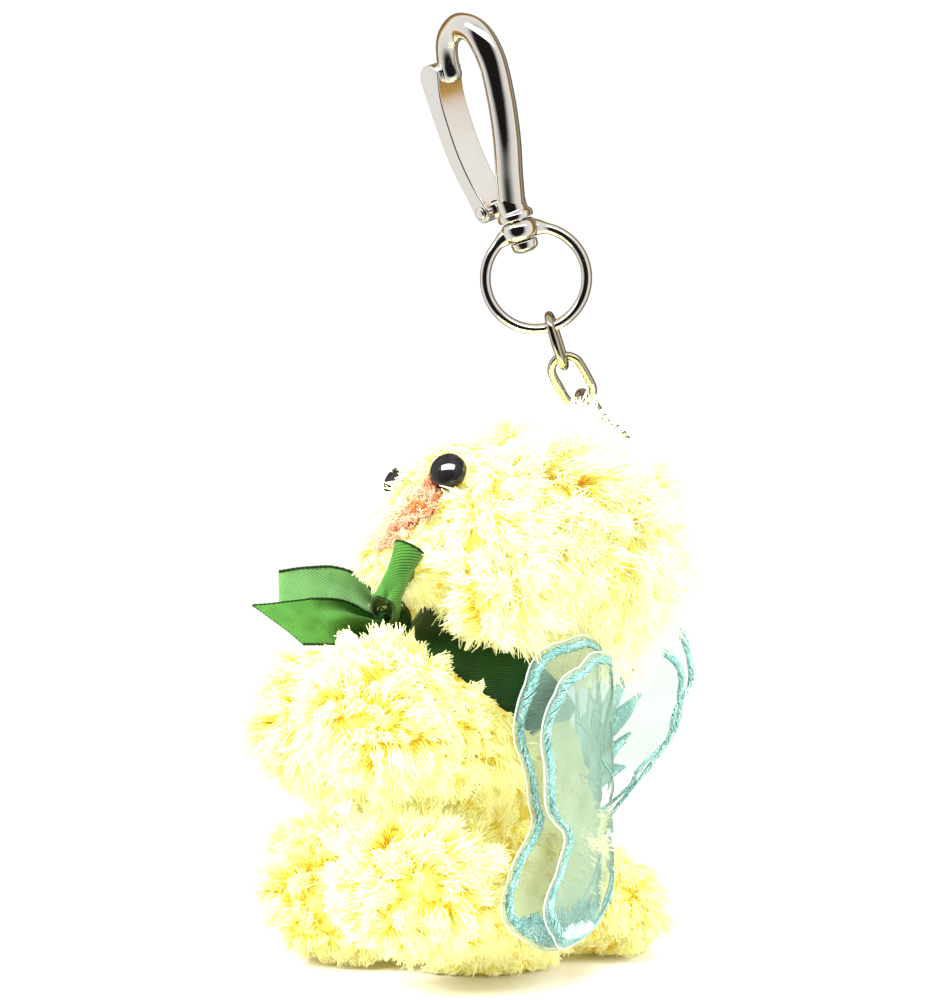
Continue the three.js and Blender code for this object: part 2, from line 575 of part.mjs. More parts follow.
// The gate: a channel whose web faces outwards and whose walls flank the lug and the nose.
const GATE_HALF = 3.5;
const GATE_WALL = 0.9;
const gateOuter = [...arc(PIN, 2.2, -90, -180, 4), [-9.2, 7.4], [-10.5, 12.5], [-11.2, 18], [-11.4, 25],
  ...arc([-8.1, 33.2], 3.2, 180, 20, 6), [-6.9, 29], [-7.4, 23], [-7.3, 16], [-6, 9], ...arc(PIN, 2.2, 40, -60, 5)];
const gateHollow = [[-2, -2], [-9, -2], [-9, 6.4], [-8.3, 7.8], [-9.5, 12.5], [-10.2, 18], [-10.4, 25],
  [-10.2, 29.2], [-14, 29.2], [-14, 40], [-2, 40]];
const gateSolid = plate(gateOuter, 2 * GATE_HALF)
  .subtract(plate(gateHollow, 2 * (GATE_HALF - GATE_WALL))).subtract(pinBore);
addPart('gate', gateSolid, METAL_LOOK);

const pinProfile = [[0, 0], [1.3, 0], [1.3, 0.5], [0.8, 0.5], [0.8, 7.9], [1.3, 7.9], [1.3, 8.4], [0, 8.4]];
addPart('gate_pin', turned(pinFoot, hookNormal, pinProfile, 12), METAL_LOOK);

// A torsion spring round the pin, between the lug and the channel's wall.
const springRings = [];
const SPRING_TURNS = 2;
const SPRING_STEPS = 20;
for (let i = 0; i <= SPRING_STEPS; i++) {
  const t = i / SPRING_STEPS;
  const turn = 2 * Math.PI * SPRING_TURNS * t;
  const outward = hookSide.clone().multiplyScalar(Math.cos(turn)).addScaledVector(swivelAxis, Math.sin(turn));
  const middle = onHook(...PIN, 1.55 + 0.62 * t).addScaledVector(outward, 1.45);
  springRings.push(circle(middle, outward, hookNormal, 0.13, 0.13, 6));
}
addPart('gate_spring', loft(springRings), METAL_LOOK);

// The origin: the middle of the object's box, on the surface that it sits on.
const box = new THREE.Box3().setFromObject(group, true);
group.position.set(-(box.min.x + box.max.x) / 2, -(box.min.y + box.max.y) / 2, -box.min.z);
group.updateMatrixWorld(true);

export default group;
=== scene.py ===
"""The looks of a plush keychain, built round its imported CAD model.

Shapes are in millimetres in the drawing's own axes: the plush faces -Y, its left side is +X, and it
sits on z = 0. place() turns them into metres in the row frame.
"""
import math

import bpy
import numpy as np
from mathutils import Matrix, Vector, noise


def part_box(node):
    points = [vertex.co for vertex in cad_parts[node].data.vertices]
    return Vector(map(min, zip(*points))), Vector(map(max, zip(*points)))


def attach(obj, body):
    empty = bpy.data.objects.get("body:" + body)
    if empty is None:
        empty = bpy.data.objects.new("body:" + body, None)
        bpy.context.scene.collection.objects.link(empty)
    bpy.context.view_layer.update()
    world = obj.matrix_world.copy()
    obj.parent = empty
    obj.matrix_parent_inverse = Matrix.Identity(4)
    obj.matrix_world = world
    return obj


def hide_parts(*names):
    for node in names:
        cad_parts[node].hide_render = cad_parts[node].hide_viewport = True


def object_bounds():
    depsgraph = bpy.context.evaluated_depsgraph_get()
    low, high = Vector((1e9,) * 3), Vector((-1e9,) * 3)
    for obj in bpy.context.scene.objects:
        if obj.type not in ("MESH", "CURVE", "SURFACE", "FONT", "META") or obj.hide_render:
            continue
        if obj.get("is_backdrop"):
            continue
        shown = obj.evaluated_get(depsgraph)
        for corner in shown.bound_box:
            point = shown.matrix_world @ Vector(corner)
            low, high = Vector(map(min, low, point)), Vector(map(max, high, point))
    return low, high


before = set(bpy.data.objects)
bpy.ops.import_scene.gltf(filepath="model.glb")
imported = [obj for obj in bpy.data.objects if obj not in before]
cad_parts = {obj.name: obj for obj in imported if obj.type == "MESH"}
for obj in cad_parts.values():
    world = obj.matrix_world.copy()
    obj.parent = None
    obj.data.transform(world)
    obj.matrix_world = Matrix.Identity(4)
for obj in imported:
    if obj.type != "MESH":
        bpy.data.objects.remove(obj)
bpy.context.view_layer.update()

noise.seed_set(11)

MM = 0.001
torso_low, torso_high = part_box("torso_skin")
SHIFT = np.array([(torso_low.x + torso_high.x) / 2, (torso_low.y + torso_high.y) / 2 - 7 * MM, 0])
PI = math.pi


def vec(*values):
    return np.array(values, float)


def place(points):
    """Millimetres in the drawing's axes to metres in the row frame."""
    return np.asarray(points, float) * MM + SHIFT


def unit(v):
    v = np.asarray(v, float)
    return v / np.maximum(np.linalg.norm(v, axis=-1, keepdims=True), 1e-9)


def smooth(low, high, value):
    """0 below low, 1 above high, with a soft step between."""
    t = np.clip((np.asarray(value, float) - low) / (high - low), 0, 1)
    return t * t * (3 - 2 * t)


def lerp(a, b, t):
    return a + (b - a) * t


def drift(points, size, seed):
    """A smooth random vector at each point, from -1 to 1, that changes over size millimetres."""
    step = Vector((seed * 7.3, seed * 3.1, seed * 5.7))
    return np.array([noise.noise_vector(Vector(p) / size + step)[:] for p in points]).reshape(-1, 3)


def full_turn(steps):
    return np.linspace(0, 2 * PI, steps, endpoint=False)


def circle(turn, a, b):
    """The unit circle from a towards b, at each angle of turn."""
    return np.cos(turn)[:, None] * a + np.sin(turn)[:, None] * b


def ball_ring(height, turn):
    """A ring of the unit ball, at a height given as an angle."""
    return np.stack([math.cos(height) * np.cos(turn), math.cos(height) * np.sin(turn),
                     np.full(len(turn), math.sin(height))], -1)


# ---- curves ----
def distances(points):
    """How far along a line of points each of them is."""
    return np.concatenate([[0], np.cumsum(np.linalg.norm(np.diff(points, axis=0), axis=1))])


def curve(points, ts):
    """The centripetal curve through the points, at each t from 0 to 1."""
    p = np.asarray(points, float)
    p = np.vstack([2 * p[0] - p[1], p, 2 * p[-1] - p[-2]])
    spans = len(p) - 3
    at = np.asarray(ts, float) * spans
    i = np.clip(np.floor(at).astype(int), 0, spans - 1)
    w = (at - i)[:, None]
    a, b, c, d = p[i], p[i + 1], p[i + 2], p[i + 3]
    ab, bc, cd = (np.sqrt(np.maximum(np.linalg.norm(y - x, axis=1), 1e-6))[:, None]
                  for x, y in ((a, b), (b, c), (c, d)))
    start = ((b - a) / ab - (c - a) / (ab + bc) + (c - b) / bc) * bc
    end = ((c - b) / bc - (d - b) / (bc + cd) + (d - c) / cd) * bc
    return (b + start * w + (3 * (c - b) - 2 * start - end) * w ** 2
            + (2 * (b - c) + start + end) * w ** 3)


class Line:
    """A curve through points that is read by the distance along it."""

    def __init__(self, points):
        self.at_t = curve(points, np.linspace(0, 1, 600))
        self.far = distances(self.at_t)
        self.length = self.far[-1]

    def point(self, distance):
        return np.stack([np.interp(distance, self.far, self.at_t[:, k])
                         for k in range(self.at_t.shape[1])], -1)

    def slope(self, distance):
        d = np.clip(np.asarray(distance, float), 0.05, self.length - 0.05)
        return unit(self.point(d + 0.05) - self.point(d - 0.05))


# ---- closed shapes: (points, faces) ----
def skin(rings, loop=False):
    """A closed skin over rings of the same number of points."""
    rings = np.asarray(rings, float)
    count, sides = rings.shape[:2]
    points = rings.reshape(-1, 3)
    i = np.arange(count if loop else count - 1)[:, None]
    j = np.arange(sides)[None, :]
    k = (j + 1) % sides
    here, after = i * sides, (i + 1) % count * sides
    faces = np.stack([here + j, here + k, after + k, after + j], -1).reshape(-1, 4).tolist()
    if not loop:
        faces += [list(range(sides))[::-1], list(range((count - 1) * sides, count * sides))]
    return points, faces


def merge(shapes):
    points, faces, start = [], [], 0
    for p, f in shapes:
        points.append(p)
        faces += [[v + start for v in face] for face in f]
        start += len(p)
    return np.vstack(points), faces


def turned(foot, direction, profile, sides=64):
    """A turned piece: radius and height pairs from its foot. A profile that ends where it starts is a ring."""
    up = unit(direction)
    side = unit(np.cross(up, [0.3, 0.9, 0.2]))
    out = np.cross(up, side)
    rim = circle(full_turn(sides), side, out)
    rings = [foot + up * h + rim * max(r, 0.002) for r, h in profile]
    if profile[0] == profile[-1]:
        return skin(rings[:-1], loop=True)
    return skin(rings)


def rounded(profile, size):
    """The profile with each inner corner rounded by size."""
    profile = [np.array(p, float) for p in profile]
    closed = np.allclose(profile[0], profile[-1])
    out = [] if closed else [tuple(profile[0])]
    for i in range(0 if closed else 1, len(profile) - 1):
        before, here, after = profile[i - 1], profile[i], profile[i + 1]
        if closed and i == 0:
            before = profile[-2]
        a, b = before - here, after - here
        cut = min(size, np.linalg.norm(a) * 0.45, np.linalg.norm(b) * 0.45)
        p, q = here + unit(a) * cut, here + unit(b) * cut
        for s in np.linspace(0, 1, 5):
            out.append(tuple((1 - s) ** 2 * p + 2 * s * (1 - s) * here + s * s * q))
    return out + [out[0] if closed else tuple(profile[-1])]


def tube(centres, radii, sides, loop=False):
    """A round bar along centres."""
    centres = np.asarray(centres, float)
    radii = np.broadcast_to(radii, len(centres))
    ahead = np.roll(centres, -1, 0) - np.roll(centres, 1, 0)
    if not loop:
        ahead[0], ahead[-1] = centres[1] - centres[0], centres[-1] - centres[-2]
    ahead = unit(ahead)
    side = unit(np.cross(ahead[0], [0.13, 0.4, 0.9]))
    turn = full_turn(sides)
    rings = []
    for c, a, r in zip(centres, ahead, radii):
        side = unit(side - a * (side @ a))
        out = np.cross(a, side)
        rings.append(c + np.cos(turn)[:, None] * side * r + np.sin(turn)[:, None] * out * r)
    return skin(rings, loop)


def cloth_solid(grid, thickness, normals=None):
    """A thin closed solid from a grid of points."""
    grid = np.asarray(grid, float)
    rows, columns = grid.shape[:2]
    if normals is None:
        normals = unit(np.cross(np.gradient(grid, axis=0), np.gradient(grid, axis=1)))
    half = normals * (thickness / 2)
    points = np.concatenate([(grid + half).reshape(-1, 3), (grid - half).reshape(-1, 3)])
    other = rows * columns
    i, j = np.meshgrid(np.arange(rows - 1), np.arange(columns - 1), indexing="ij")
    a = (i * columns + j).ravel()
    top = np.stack([a, a + columns, a + columns + 1, a + 1], -1)
    faces = top.tolist() + (top[:, ::-1] + other).tolist()
    edge = ([(0, j) for j in range(columns)] + [(i, columns - 1) for i in range(1, rows)]
            + [(rows - 1, j) for j in range(columns - 2, -1, -1)] + [(i, 0) for i in range(rows - 2, 0, -1)])
    edge = [i * columns + j for i, j in edge]
    for p, q in zip(edge, edge[1:] + edge[:1]):
        faces.append([p, q, q + other, p + other])
    return points, faces


# ---- pieces ----
def build(name, shape, look, body, nodes=(), uv=None):
    """A piece of the object from a closed shape. uv gives each point's cloth coordinates, in millimetres."""
    points, faces = shape
    mesh = bpy.data.meshes.new(name)
    if isinstance(faces, np.ndarray):
        mesh.vertices.add(len(points))
        mesh.vertices.foreach_set("co", place(points).astype(np.float32).ravel())
        mesh.loops.add(faces.size)
        mesh.loops.foreach_set("vertex_index", faces.astype(np.int32).ravel())
        mesh.polygons.add(len(faces))
        mesh.polygons.foreach_set("loop_start", np.arange(0, faces.size, faces.shape[1], dtype=np.int32))
        mesh.update(calc_edges=True)
        mesh.validate()
    else:
        mesh.from_pydata(place(points).tolist(), [], faces)
    if uv is not None:
        layer = mesh.uv_layers.new(name="cloth")
        index = np.zeros(len(mesh.loops), np.int32)
        mesh.loops.foreach_get("vertex_index", index)
        layer.data.foreach_set("uv", np.asarray(uv, np.float32)[index].ravel())
    mesh.polygons.foreach_set("use_smooth", [True] * len(mesh.polygons))
    mesh.materials.append(look)
    piece = bpy.data.objects.new(name, mesh)
    bpy.context.scene.collection.objects.link(piece)
    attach(piece, body)
    if nodes:
        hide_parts(*nodes)
    return piece


def apply_modifiers(piece):
    bpy.context.view_layer.update()
    made = piece.evaluated_get(bpy.context.evaluated_depsgraph_get())
    mesh = bpy.data.meshes.new_from_object(made)
    piece.modifiers.clear()
    piece.data = mesh


def bevelled(piece, width):
    bevel = piece.modifiers.new("bevel", "BEVEL")
    bevel.width = width * MM
    bevel.segments = 3
    bevel.limit_method = "ANGLE"
    bevel.angle_limit = math.radians(35)
    bevel.harden_normals = True
    apply_modifiers(piece)


def carved(piece, shapes):
    """Cuts shapes out of a piece."""
    for points, faces in shapes:
        mesh = bpy.data.meshes.new("cutter")
        mesh.from_pydata(place(points).tolist(), [], faces)
        cutter = bpy.data.objects.new("cutter", mesh)
        bpy.context.scene.collection.objects.link(cutter)
        cut = piece.modifiers.new("cut", "BOOLEAN")
        cut.operation = "DIFFERENCE"
        cut.solver = "EXACT"
        cut.object = cutter
        apply_modifiers(piece)
        bpy.data.objects.remove(cutter)


# ---- materials ----
def new_node(tree, kind, settings=None, **inputs):
    """A node with its settings, and its inputs by name or as i0, i1...: each a value or a link."""
    made = tree.nodes.new("ShaderNode" + kind)
    for key, value in (settings or {}).items():
        setattr(made, key, value)
    for key, value in inputs.items():
        socket = made.inputs[int(key[1:]) if key[1:].isdigit() else key.replace("_", " ")]
        if isinstance(value, bpy.types.NodeSocket):
            tree.links.new(value, socket)
        else:
            socket.default_value = value
    return made


def new_ramp(tree, factor, stops):
    """The colour of a ramp of (position, colour) stops."""
    made = new_node(tree, "ValToRGB", Fac=factor)
    elements = made.color_ramp.elements
    while len(elements) < len(stops):
        elements.new(0.5)
    for element, (position, colour) in zip(elements, stops):
        element.position = position
        element.color = (*colour, 1)
    return made.outputs["Color"]


class Look:
    """A node material round one Principled shader."""

    def __init__(self, name, **principled):
        self.material = bpy.data.materials.new(name)
        self.material.use_nodes = True
        self.tree = self.material.node_tree
        self.shader = self.tree.nodes["Principled BSDF"]
        self.out = self.tree.nodes["Material Output"]
        for socket, value in principled.items():
            self.shader.inputs[socket.replace("_", " ")].default_value = value

    def add(self, kind, settings=None, **inputs):
        return new_node(self.tree, kind, settings, **inputs)

    def link(self, output, socket):
        self.tree.links.new(output, self.shader.inputs[socket])

    def ramp(self, factor, stops):
        return new_ramp(self.tree, factor, stops)

    def cloth(self):
        """The piece's own cloth coordinates, in millimetres."""
        return self.add("UVMap", {"uv_map": "cloth"}).outputs["UV"]

    def math(self, operation, *values):
        inputs = {f"i{socket}": value for socket, value in enumerate(values)}
        return self.add("Math", {"operation": operation}, **inputs).outputs[0]

    def cloud(self, scale, detail=3, rough=0.6):
        return self.add("TexNoise", Vector=self.add("TexCoord").outputs["Object"], Scale=scale, Detail=detail,
                        Roughness=rough).outputs["Fac"]

    def bump(self, height, strength, distance):
        self.link(self.add("Bump", Height=height, Strength=strength, Distance=distance).outputs["Normal"], "Normal")


def fur_look(name, stops, glow):
    """Pile cloth: matt, with light passing through it."""
    look = Look(name, Roughness=1.0, Specular_IOR_Level=0.0)
    colour = look.ramp(look.cloud(170, 4, 0.65), stops)
    return see_through(look, colour, glow)


def see_through(look, colour, share):
    """Colours the look, and lets a share of the light pass through it."""
    look.link(colour, "Base Color")
    through = look.add("BsdfTranslucent", Color=colour)
    mixed = look.add("MixShader", Fac=share, i1=look.shader.outputs[0], i2=through.outputs[0])
    look.tree.links.new(mixed.outputs[0], look.out.inputs["Surface"])
    return look.material


def strand_look(name, root, middle, tip, glow, own=0.0):
    """Chenille strands: deeper in colour at their roots, a painted shade, and pale at their tips, a painted
    highlight, in drifting patches.

    own is a painted glow: emission in the strands' own colour, which lifts the shade between them.
    """
    look = Look(name, Roughness=1.0, Specular_IOR_Level=0.0)
    along = look.add("SeparateXYZ", Vector=look.cloth()).outputs["Y"]
    # the ramp runs from root to tip: painted shade at the root, painted highlight at the tip
    height = look.math("MULTIPLY_ADD", look.cloud(160, 4, 0.65), 0.7, along)
    colour = look.ramp(height, [(0.3, root), (0.62, middle), (1.0, tip)])
    # painted glow: the same colour again as emission
    look.link(colour, "Emission Color")
    look.shader.inputs["Emission Strength"].default_value = own
    return see_through(look, colour, glow)


# two copies of one pile: a deeper copy with painted shade for the lower body, and a paler copy with painted light for
# the head, which is lit from above
BODY_FUR_SHADED = strand_look("pile", (1.0, 0.63, 0.03), (1.0, 0.92, 0.19), (1.0, 0.985, 0.58), 0.45, own=0.19)
HEAD_FUR_LIT = strand_look("head_pile", (1.0, 0.72, 0.08), (1.0, 0.955, 0.34), (1.0, 0.99, 0.66), 0.45, own=0.21)
BACKING = fur_look("pile_backing", [(0.3, (0.99, 0.84, 0.16)), (0.7, (1.0, 0.92, 0.3))], 0.2)
SALMON = strand_look("nose_pile", (0.6, 0.12, 0.04), (0.8, 0.3, 0.15), (0.95, 0.55, 0.36), 0.35)
KNOT_RED = fur_look("nose_yarn", [(0.3, (0.5, 0.06, 0.015)), (0.65, (0.68, 0.14, 0.04))], 0.15)


def metal_look(name, tint, rough):
    """Polished plating with faint orange peel, handling marks and duller patches."""
    look = Look(name, Metallic=1.0, Base_Color=(*tint, 1))
    marks = look.cloud(900, 6, 0.75)
    patches = look.ramp(look.cloud(120), [(0.35, (rough * 0.6,) * 3), (0.75, (rough * 2.2,) * 3)])
    look.link(patches, "Roughness")
    look.bump(marks, 0.035, 0.0002)
    return look.material


METAL = metal_look("nickel_plate", (0.86, 0.84, 0.8), 0.06)
WIRE = metal_look("nickel_wire", (0.56, 0.53, 0.43), 0.12)


def satin_look(name, dark, light, see):
    """Woven satin ribbon: fine diagonal twill, soft sheen, and a closer selvedge at both edges."""
    look = Look(name, Roughness=0.42, Anisotropic=0.5, Sheen_Weight=0.06, Sheen_Roughness=0.35,
                Specular_IOR_Level=0.3)
    cloth = look.cloth()
    place_ = look.add("Mapping", Vector=cloth, Rotation=(0, 0, math.radians(38)))
    twill = look.add("TexWave", {"wave_type": "BANDS", "bands_direction": "X"}, Vector=place_.outputs[0],
                     Scale=0.62, Distortion=0.5, Detail=1.0, Detail_Scale=2.0).outputs["Fac"]
    cross = look.add("TexWave", {"wave_type": "BANDS", "bands_direction": "Y"}, Vector=cloth,
                     Scale=1.1, Distortion=0.3).outputs["Fac"]
    weave = look.math("MULTIPLY_ADD", cross, 0.35, twill)
    shade = look.math("MULTIPLY_ADD", look.cloud(260), 0.8, twill)
    colour = look.ramp(shade, [(0.35, dark), (1.0, light)])
    look.bump(weave, 0.5, 0.00012)
    return see_through(look, colour, see)


SATIN = satin_look("satin", (0.004, 0.04, 0.002), (0.05, 0.16, 0.022), 0.12)
# a darker copy of the same satin: painted shade, for the collar under the head and arms and for the knot
SHADED_SATIN = satin_look("satin_painted_shade", (0.001, 0.014, 0.001), (0.008, 0.055, 0.006), 0.05)
# a paler copy of the same satin for the far tail: painted light, where light comes through it; it also lets more
# light through
LIT_SATIN = satin_look("satin_thin_painted_light", (0.14, 0.3, 0.12), (0.3, 0.52, 0.26), 0.6)
HEM = satin_look("satin_edge", (0.002, 0.016, 0.002), (0.012, 0.05, 0.008), 0.05)


def thread_look(name, stops):
    look = Look(name, Roughness=0.42, Anisotropic=0.4, Specular_IOR_Level=0.3)
    shade = look.math("MULTIPLY_ADD", look.cloud(2400, 2, 0.7), 0.75, look.math("MULTIPLY", look.cloud(300), 0.3))
    look.link(look.ramp(shade, stops), "Base Color")
    look.bump(look.cloud(5200, 2), 0.25, 0.0001)
    return look.material


AQUA = thread_look("rayon_thread", [(0.38, (0.05, 0.17, 0.16)), (0.52, (0.14, 0.32, 0.3)), (0.68, (0.45, 0.6, 0.57))])
WHITE_THREAD = thread_look("pale_thread", [(0.38, (0.2, 0.36, 0.34)), (0.66, (0.6, 0.66, 0.65))])


def organza_look(name, thin, dense):
    """Sheer woven organza: crossing threads that are denser than the gaps between them."""
    look = Look(name, Roughness=0.5, Specular_IOR_Level=0.2)
    cloth = look.cloth()
    warp = look.add("TexWave", {"bands_direction": "X"}, Vector=cloth, Scale=1.3).outputs["Fac"]
    weft = look.add("TexWave", {"bands_direction": "Y"}, Vector=cloth, Scale=1.3).outputs["Fac"]
    weave = look.math("MAXIMUM", warp, weft)
    look.link(look.ramp(look.cloud(90), [(0.3, (0.16, 0.28, 0.22)), (0.7, (0.26, 0.38, 0.32))]), "Base Color")
    look.link(look.add("MapRange", i0=weave, i1=0.0, i2=1.0, i3=thin, i4=dense).outputs[0], "Alpha")
    look.bump(weave, 0.15, 0.0001)
    return look.material


ORGANZA = organza_look("organza", 0.12, 0.34)
SHEER = organza_look("organza_sheer", 0.02, 0.1)


def clouded(name, scale, stops, **principled):
    """A Look whose colour drifts softly between the stops."""
    look = Look(name, **principled)
    look.link(look.ramp(look.cloud(scale), stops), "Base Color")
    return look


RIM = clouded("melted_edge", 600, [(0.3, (0.45, 0.56, 0.5)), (0.7, (0.65, 0.7, 0.66))], Roughness=0.4,
              Alpha=0.6, Specular_IOR_Level=0.2).material

eye = clouded("eye_bead", 300, [(0.3, (0.001, 0.001, 0.0015)), (0.8, (0.006, 0.005, 0.005))],
              Specular_IOR_Level=0.3)
eye.link(eye.ramp(eye.cloud(700), [(0.4, (0.03,) * 3), (0.8, (0.07,) * 3)]), "Roughness")
EYE = eye.material

tape = clouded("cotton_tape", 500, [(0.3, (0.8, 0.7, 0.35)), (0.7, (0.95, 0.9, 0.6))], Roughness=0.85)
tape.bump(tape.cloud(3000), 0.4, 0.0002)
TAPE = tape.material

# ---- swivel ring, post and hook ----
SWIVEL_LEAN = math.radians(21.4)
AXIS = vec(0, -math.sin(SWIVEL_LEAN), math.cos(SWIVEL_LEAN))
RING_CENTRE = vec(0, 18.5, 145.2)
RING_R, RING_TUBE = 10.85, 1.15
RING_YAW, HOOK_YAW = math.radians(-28), math.radians(12)
HOOK_BASE = 13.2


def level_with_axis(yaw):
    side = vec(math.cos(yaw), math.sin(yaw), 0)
    return unit(side - AXIS * (side @ AXIS))


def up_axis(height):
    return RING_CENTRE + AXIS * height


ring_normal = level_with_axis(RING_YAW)
ring_across = np.cross(AXIS, ring_normal)
turns = np.linspace(math.radians(13.5), math.radians(346.5), 160)
ring_line = RING_CENTRE + RING_R * circle(turns, AXIS, ring_across)
flare = 0.75 * (1 - smooth(0, math.radians(20), np.minimum(turns - turns[0], turns[-1] - turns)))
boss = [(1.9, 8.7), (3.1, 8.7), (3.85, 9.6), (4.05, 10.8), (3.85, 12.0), (3.1, 12.85), (1.9, 12.85), (1.9, 8.7)]
ring_shape = merge([tube(ring_line, RING_TUBE + flare, 28), turned(RING_CENTRE, AXIS, rounded(boss, 0.7))])
build("ring", ring_shape, METAL, "ring", ["swivel_ring"])

post = [(0, 6), (1.5, 6), (2.75, 6.7), (2.95, 8.4), (1.6, 8.4), (1.6, 15.4), (0, 15.4)]
build("post", turned(RING_CENTRE, AXIS, rounded(post, 0.35)), METAL, "hook", ["swivel_post"])

hook_side = level_with_axis(HOOK_YAW)
hook_normal = np.cross(hook_side, AXIS)


def on_hook(side, up, out=0.0):
    side, up, out = (np.asarray(v, float)[..., None] for v in (side, up, out))
    return up_axis(HOOK_BASE) + AXIS * up + hook_side * side + hook_normal * out


HOOK_LINE = [(0, 3), (2.2, 9), (5.4, 17), (7.8, 26), (8.6, 34), (6.6, 39.6), (2, 41.8), (-2.6, 40), (-4.8, 35.6),
             (-5, 31)]
hook_line = Line(HOOK_LINE)
share = np.linspace(0, 1, 150)
middle = hook_line.point(share * hook_line.length)
slope = hook_line.slope(share * hook_line.length)
taper = smooth(0.58, 0.8, share)
nose_round = np.sqrt(np.clip(1 - np.clip((share - 0.965) / 0.035, 0, 1) ** 2, 0.02, 1))
bulk, depth = lerp(3.1, 2.7, taper) * nose_round, lerp(3.1, 2.2, taper) * nose_round
turn = full_turn(48)
hook_rings = []
for point, tangent, b, d in zip(middle, slope, bulk, depth):
    across = hook_side * tangent[1] - AXIS * tangent[0]
    centre = on_hook(*point)
    # a soft ridge along the spine, as a cast bar has
    swell = 1 - 0.05 * np.abs(np.sin(2 * turn))
    hook_rings.append(centre + (np.cos(turn) * swell)[:, None] * across * b
                      + (np.sin(turn) * swell)[:, None] * hook_normal * d)
collar = [(1.9, 13.15), (3.8, 13.15), (3.9, 14.4), (3.15, 15.1), (3.3, 18), (1.9, 18), (1.9, 13.15)]
PIN = vec(-6.2, 3.4)


def arc(centre, radius, start, end, steps):
    turn = np.radians(np.linspace(start, end, steps + 1))
    return [(centre[0] + radius * math.cos(a), centre[1] + radius * math.sin(a)) for a in turn]


def plate(outline, thickness):
    """A plate in the hook's plane, centred on it."""
    x, y = np.array(outline).T
    return skin([on_hook(x, y, out) for out in (-thickness / 2, thickness / 2)])


lug = plate([(0.5, 5.6)] + arc(PIN, 2.1, 90, 270, 20) + [(0.5, 1.4)], 2.2)
hook_shape = merge([skin(hook_rings), turned(RING_CENTRE, AXIS, rounded(collar, 0.35))])
build("hook", hook_shape, METAL, "hook", ["hook_body"])
lug_piece = build("hook_lug", lug, METAL, "hook")
bevelled(lug_piece, 0.3)

GATE_HALF, GATE_WALL = 3.5, 0.9
gate_back = [(-8.4, 3.4), (-9.2, 7.4), (-10.5, 12.5), (-11.2, 18), (-11.4, 25), (-11.3, 33.2)]
gate_front = [(-5.1, 34.3), (-6.9, 29), (-7.4, 23), (-7.3, 16), (-6, 9), (-4.5, 4.8)]
gate_edge = (arc(PIN, 2.2, -90, -180, 10) + curve(gate_back, np.linspace(0.06, 0.97, 40)).tolist()
             + arc((-8.1, 33.2), 3.2, 180, 20, 20) + curve(gate_front, np.linspace(0.05, 0.97, 40)).tolist()
             + arc(PIN, 2.2, 40, -60, 12))
gate_room = [(-2, -2), (-9, -2), (-9, 6.4), (-8.3, 7.8), (-9.5, 12.5), (-10.2, 18), (-10.4, 25), (-10.2, 29.2),
             (-14, 29.2), (-14, 40), (-2, 40)]
gate = build("gate_lever", plate(gate_edge, 2 * GATE_HALF), METAL, "gate", ["gate"])
carved(gate, [plate(gate_room, 2 * (GATE_HALF - GATE_WALL)),
              turned(on_hook(*PIN, -6), hook_normal, [(0, 0), (1.05, 0), (1.05, 12), (0, 12)], 32)])
bevelled(gate, 0.28)

pin = [(0, 0), (1.05, 0), (1.35, 0.25), (1.35, 0.5), (0.8, 0.5), (0.8, 7.9), (1.35, 7.9), (1.35, 8.15), (1.05, 8.4),
       (0, 8.4)]
build("pin", turned(on_hook(*PIN, -4.2), hook_normal, rounded(pin, 0.15), 40), METAL, "hook", ["gate_pin"])
coil = np.linspace(0, 2, 90)
coil_line = (on_hook(np.full(90, PIN[0]), np.full(90, PIN[1]), 1.55 + 0.31 * coil)
             + 1.45 * circle(2 * PI * coil, hook_side, AXIS))
build("spring", tube(coil_line, 0.13, 10), WIRE, "hook", ["gate_spring"])

# ---- chain and the tape loop in the head ----
WIRE_R, LINK_LONG, LINK_WIDE = 0.9, 5.7, 3.4
LEANS = np.radians([20, 33, 40, 37])
TURNS = np.radians([-54, 45, -38, 60])
wire_at = RING_CENTRE - AXIS * RING_R
overlap = RING_TUBE + WIRE_R + 0.45
link_lines = []
for index, (lean, roll) in enumerate(zip(LEANS, TURNS)):
    down = vec(0, math.sin(lean), -math.cos(lean))
    normal = unit(vec(math.cos(roll), 0, 0) + np.cross(down, [1, 0, 0]) * math.sin(roll))
    side = unit(np.cross(normal, down))
    centre = wire_at + down * (LINK_LONG - overlap)
    turn = full_turn(96)
    straight = smooth(-0.35, 0.35, np.sin(turn)) * 2 - 1
    line = (centre + LINK_WIDE * circle(turn, side, down)
            + ((LINK_LONG - LINK_WIDE) * straight)[:, None] * down)
    # the weld is a slight swelling on one long side
    weld = 0.1 * np.exp(-((turn - PI) / 0.1) ** 2)
    build(f"link_{index + 1}", tube(line, WIRE_R + weld, 20, loop=True), WIRE, f"link_{index + 1}",
          [f"chain_link_{index + 1}"])
    link_lines.append(line)
    wire_at = centre + down * LINK_LONG
    overlap = 2 * WIRE_R + 0.4

SKULL_C, SKULL_S = vec(0, 24.5, 89.3), vec(22, 21, 20.6)
TAPE_FOOT = vec(0, 43.2, 101.6)
TAPE_LOOP, TAPE_R = 2.3, 0.7
tape_centre = wire_at + down * (TAPE_LOOP - WIRE_R - TAPE_R - 0.3)
tape_line = tape_centre + TAPE_LOOP * circle(full_turn(64), down, normal)
inward = unit(SKULL_C - TAPE_FOOT)
tape_tail = TAPE_FOOT + inward * np.linspace(-1, 6, 20)[:, None]
tape_shape = merge([tube(tape_line, TAPE_R, 16, loop=True), tube(tape_tail, np.linspace(1.0, 1.5, 20), 16)])
build("tape_loop", tape_shape, TAPE, "plush", ["anchor_loop"])

# ---- soft bodies ----
FACE_YAW = math.radians(15)
FORWARD = vec(math.sin(FACE_YAW), -math.cos(FACE_YAW), 0)
SIDEWAYS = vec(math.cos(FACE_YAW), math.sin(FACE_YAW), 0)
UP = vec(0, 0, 1)


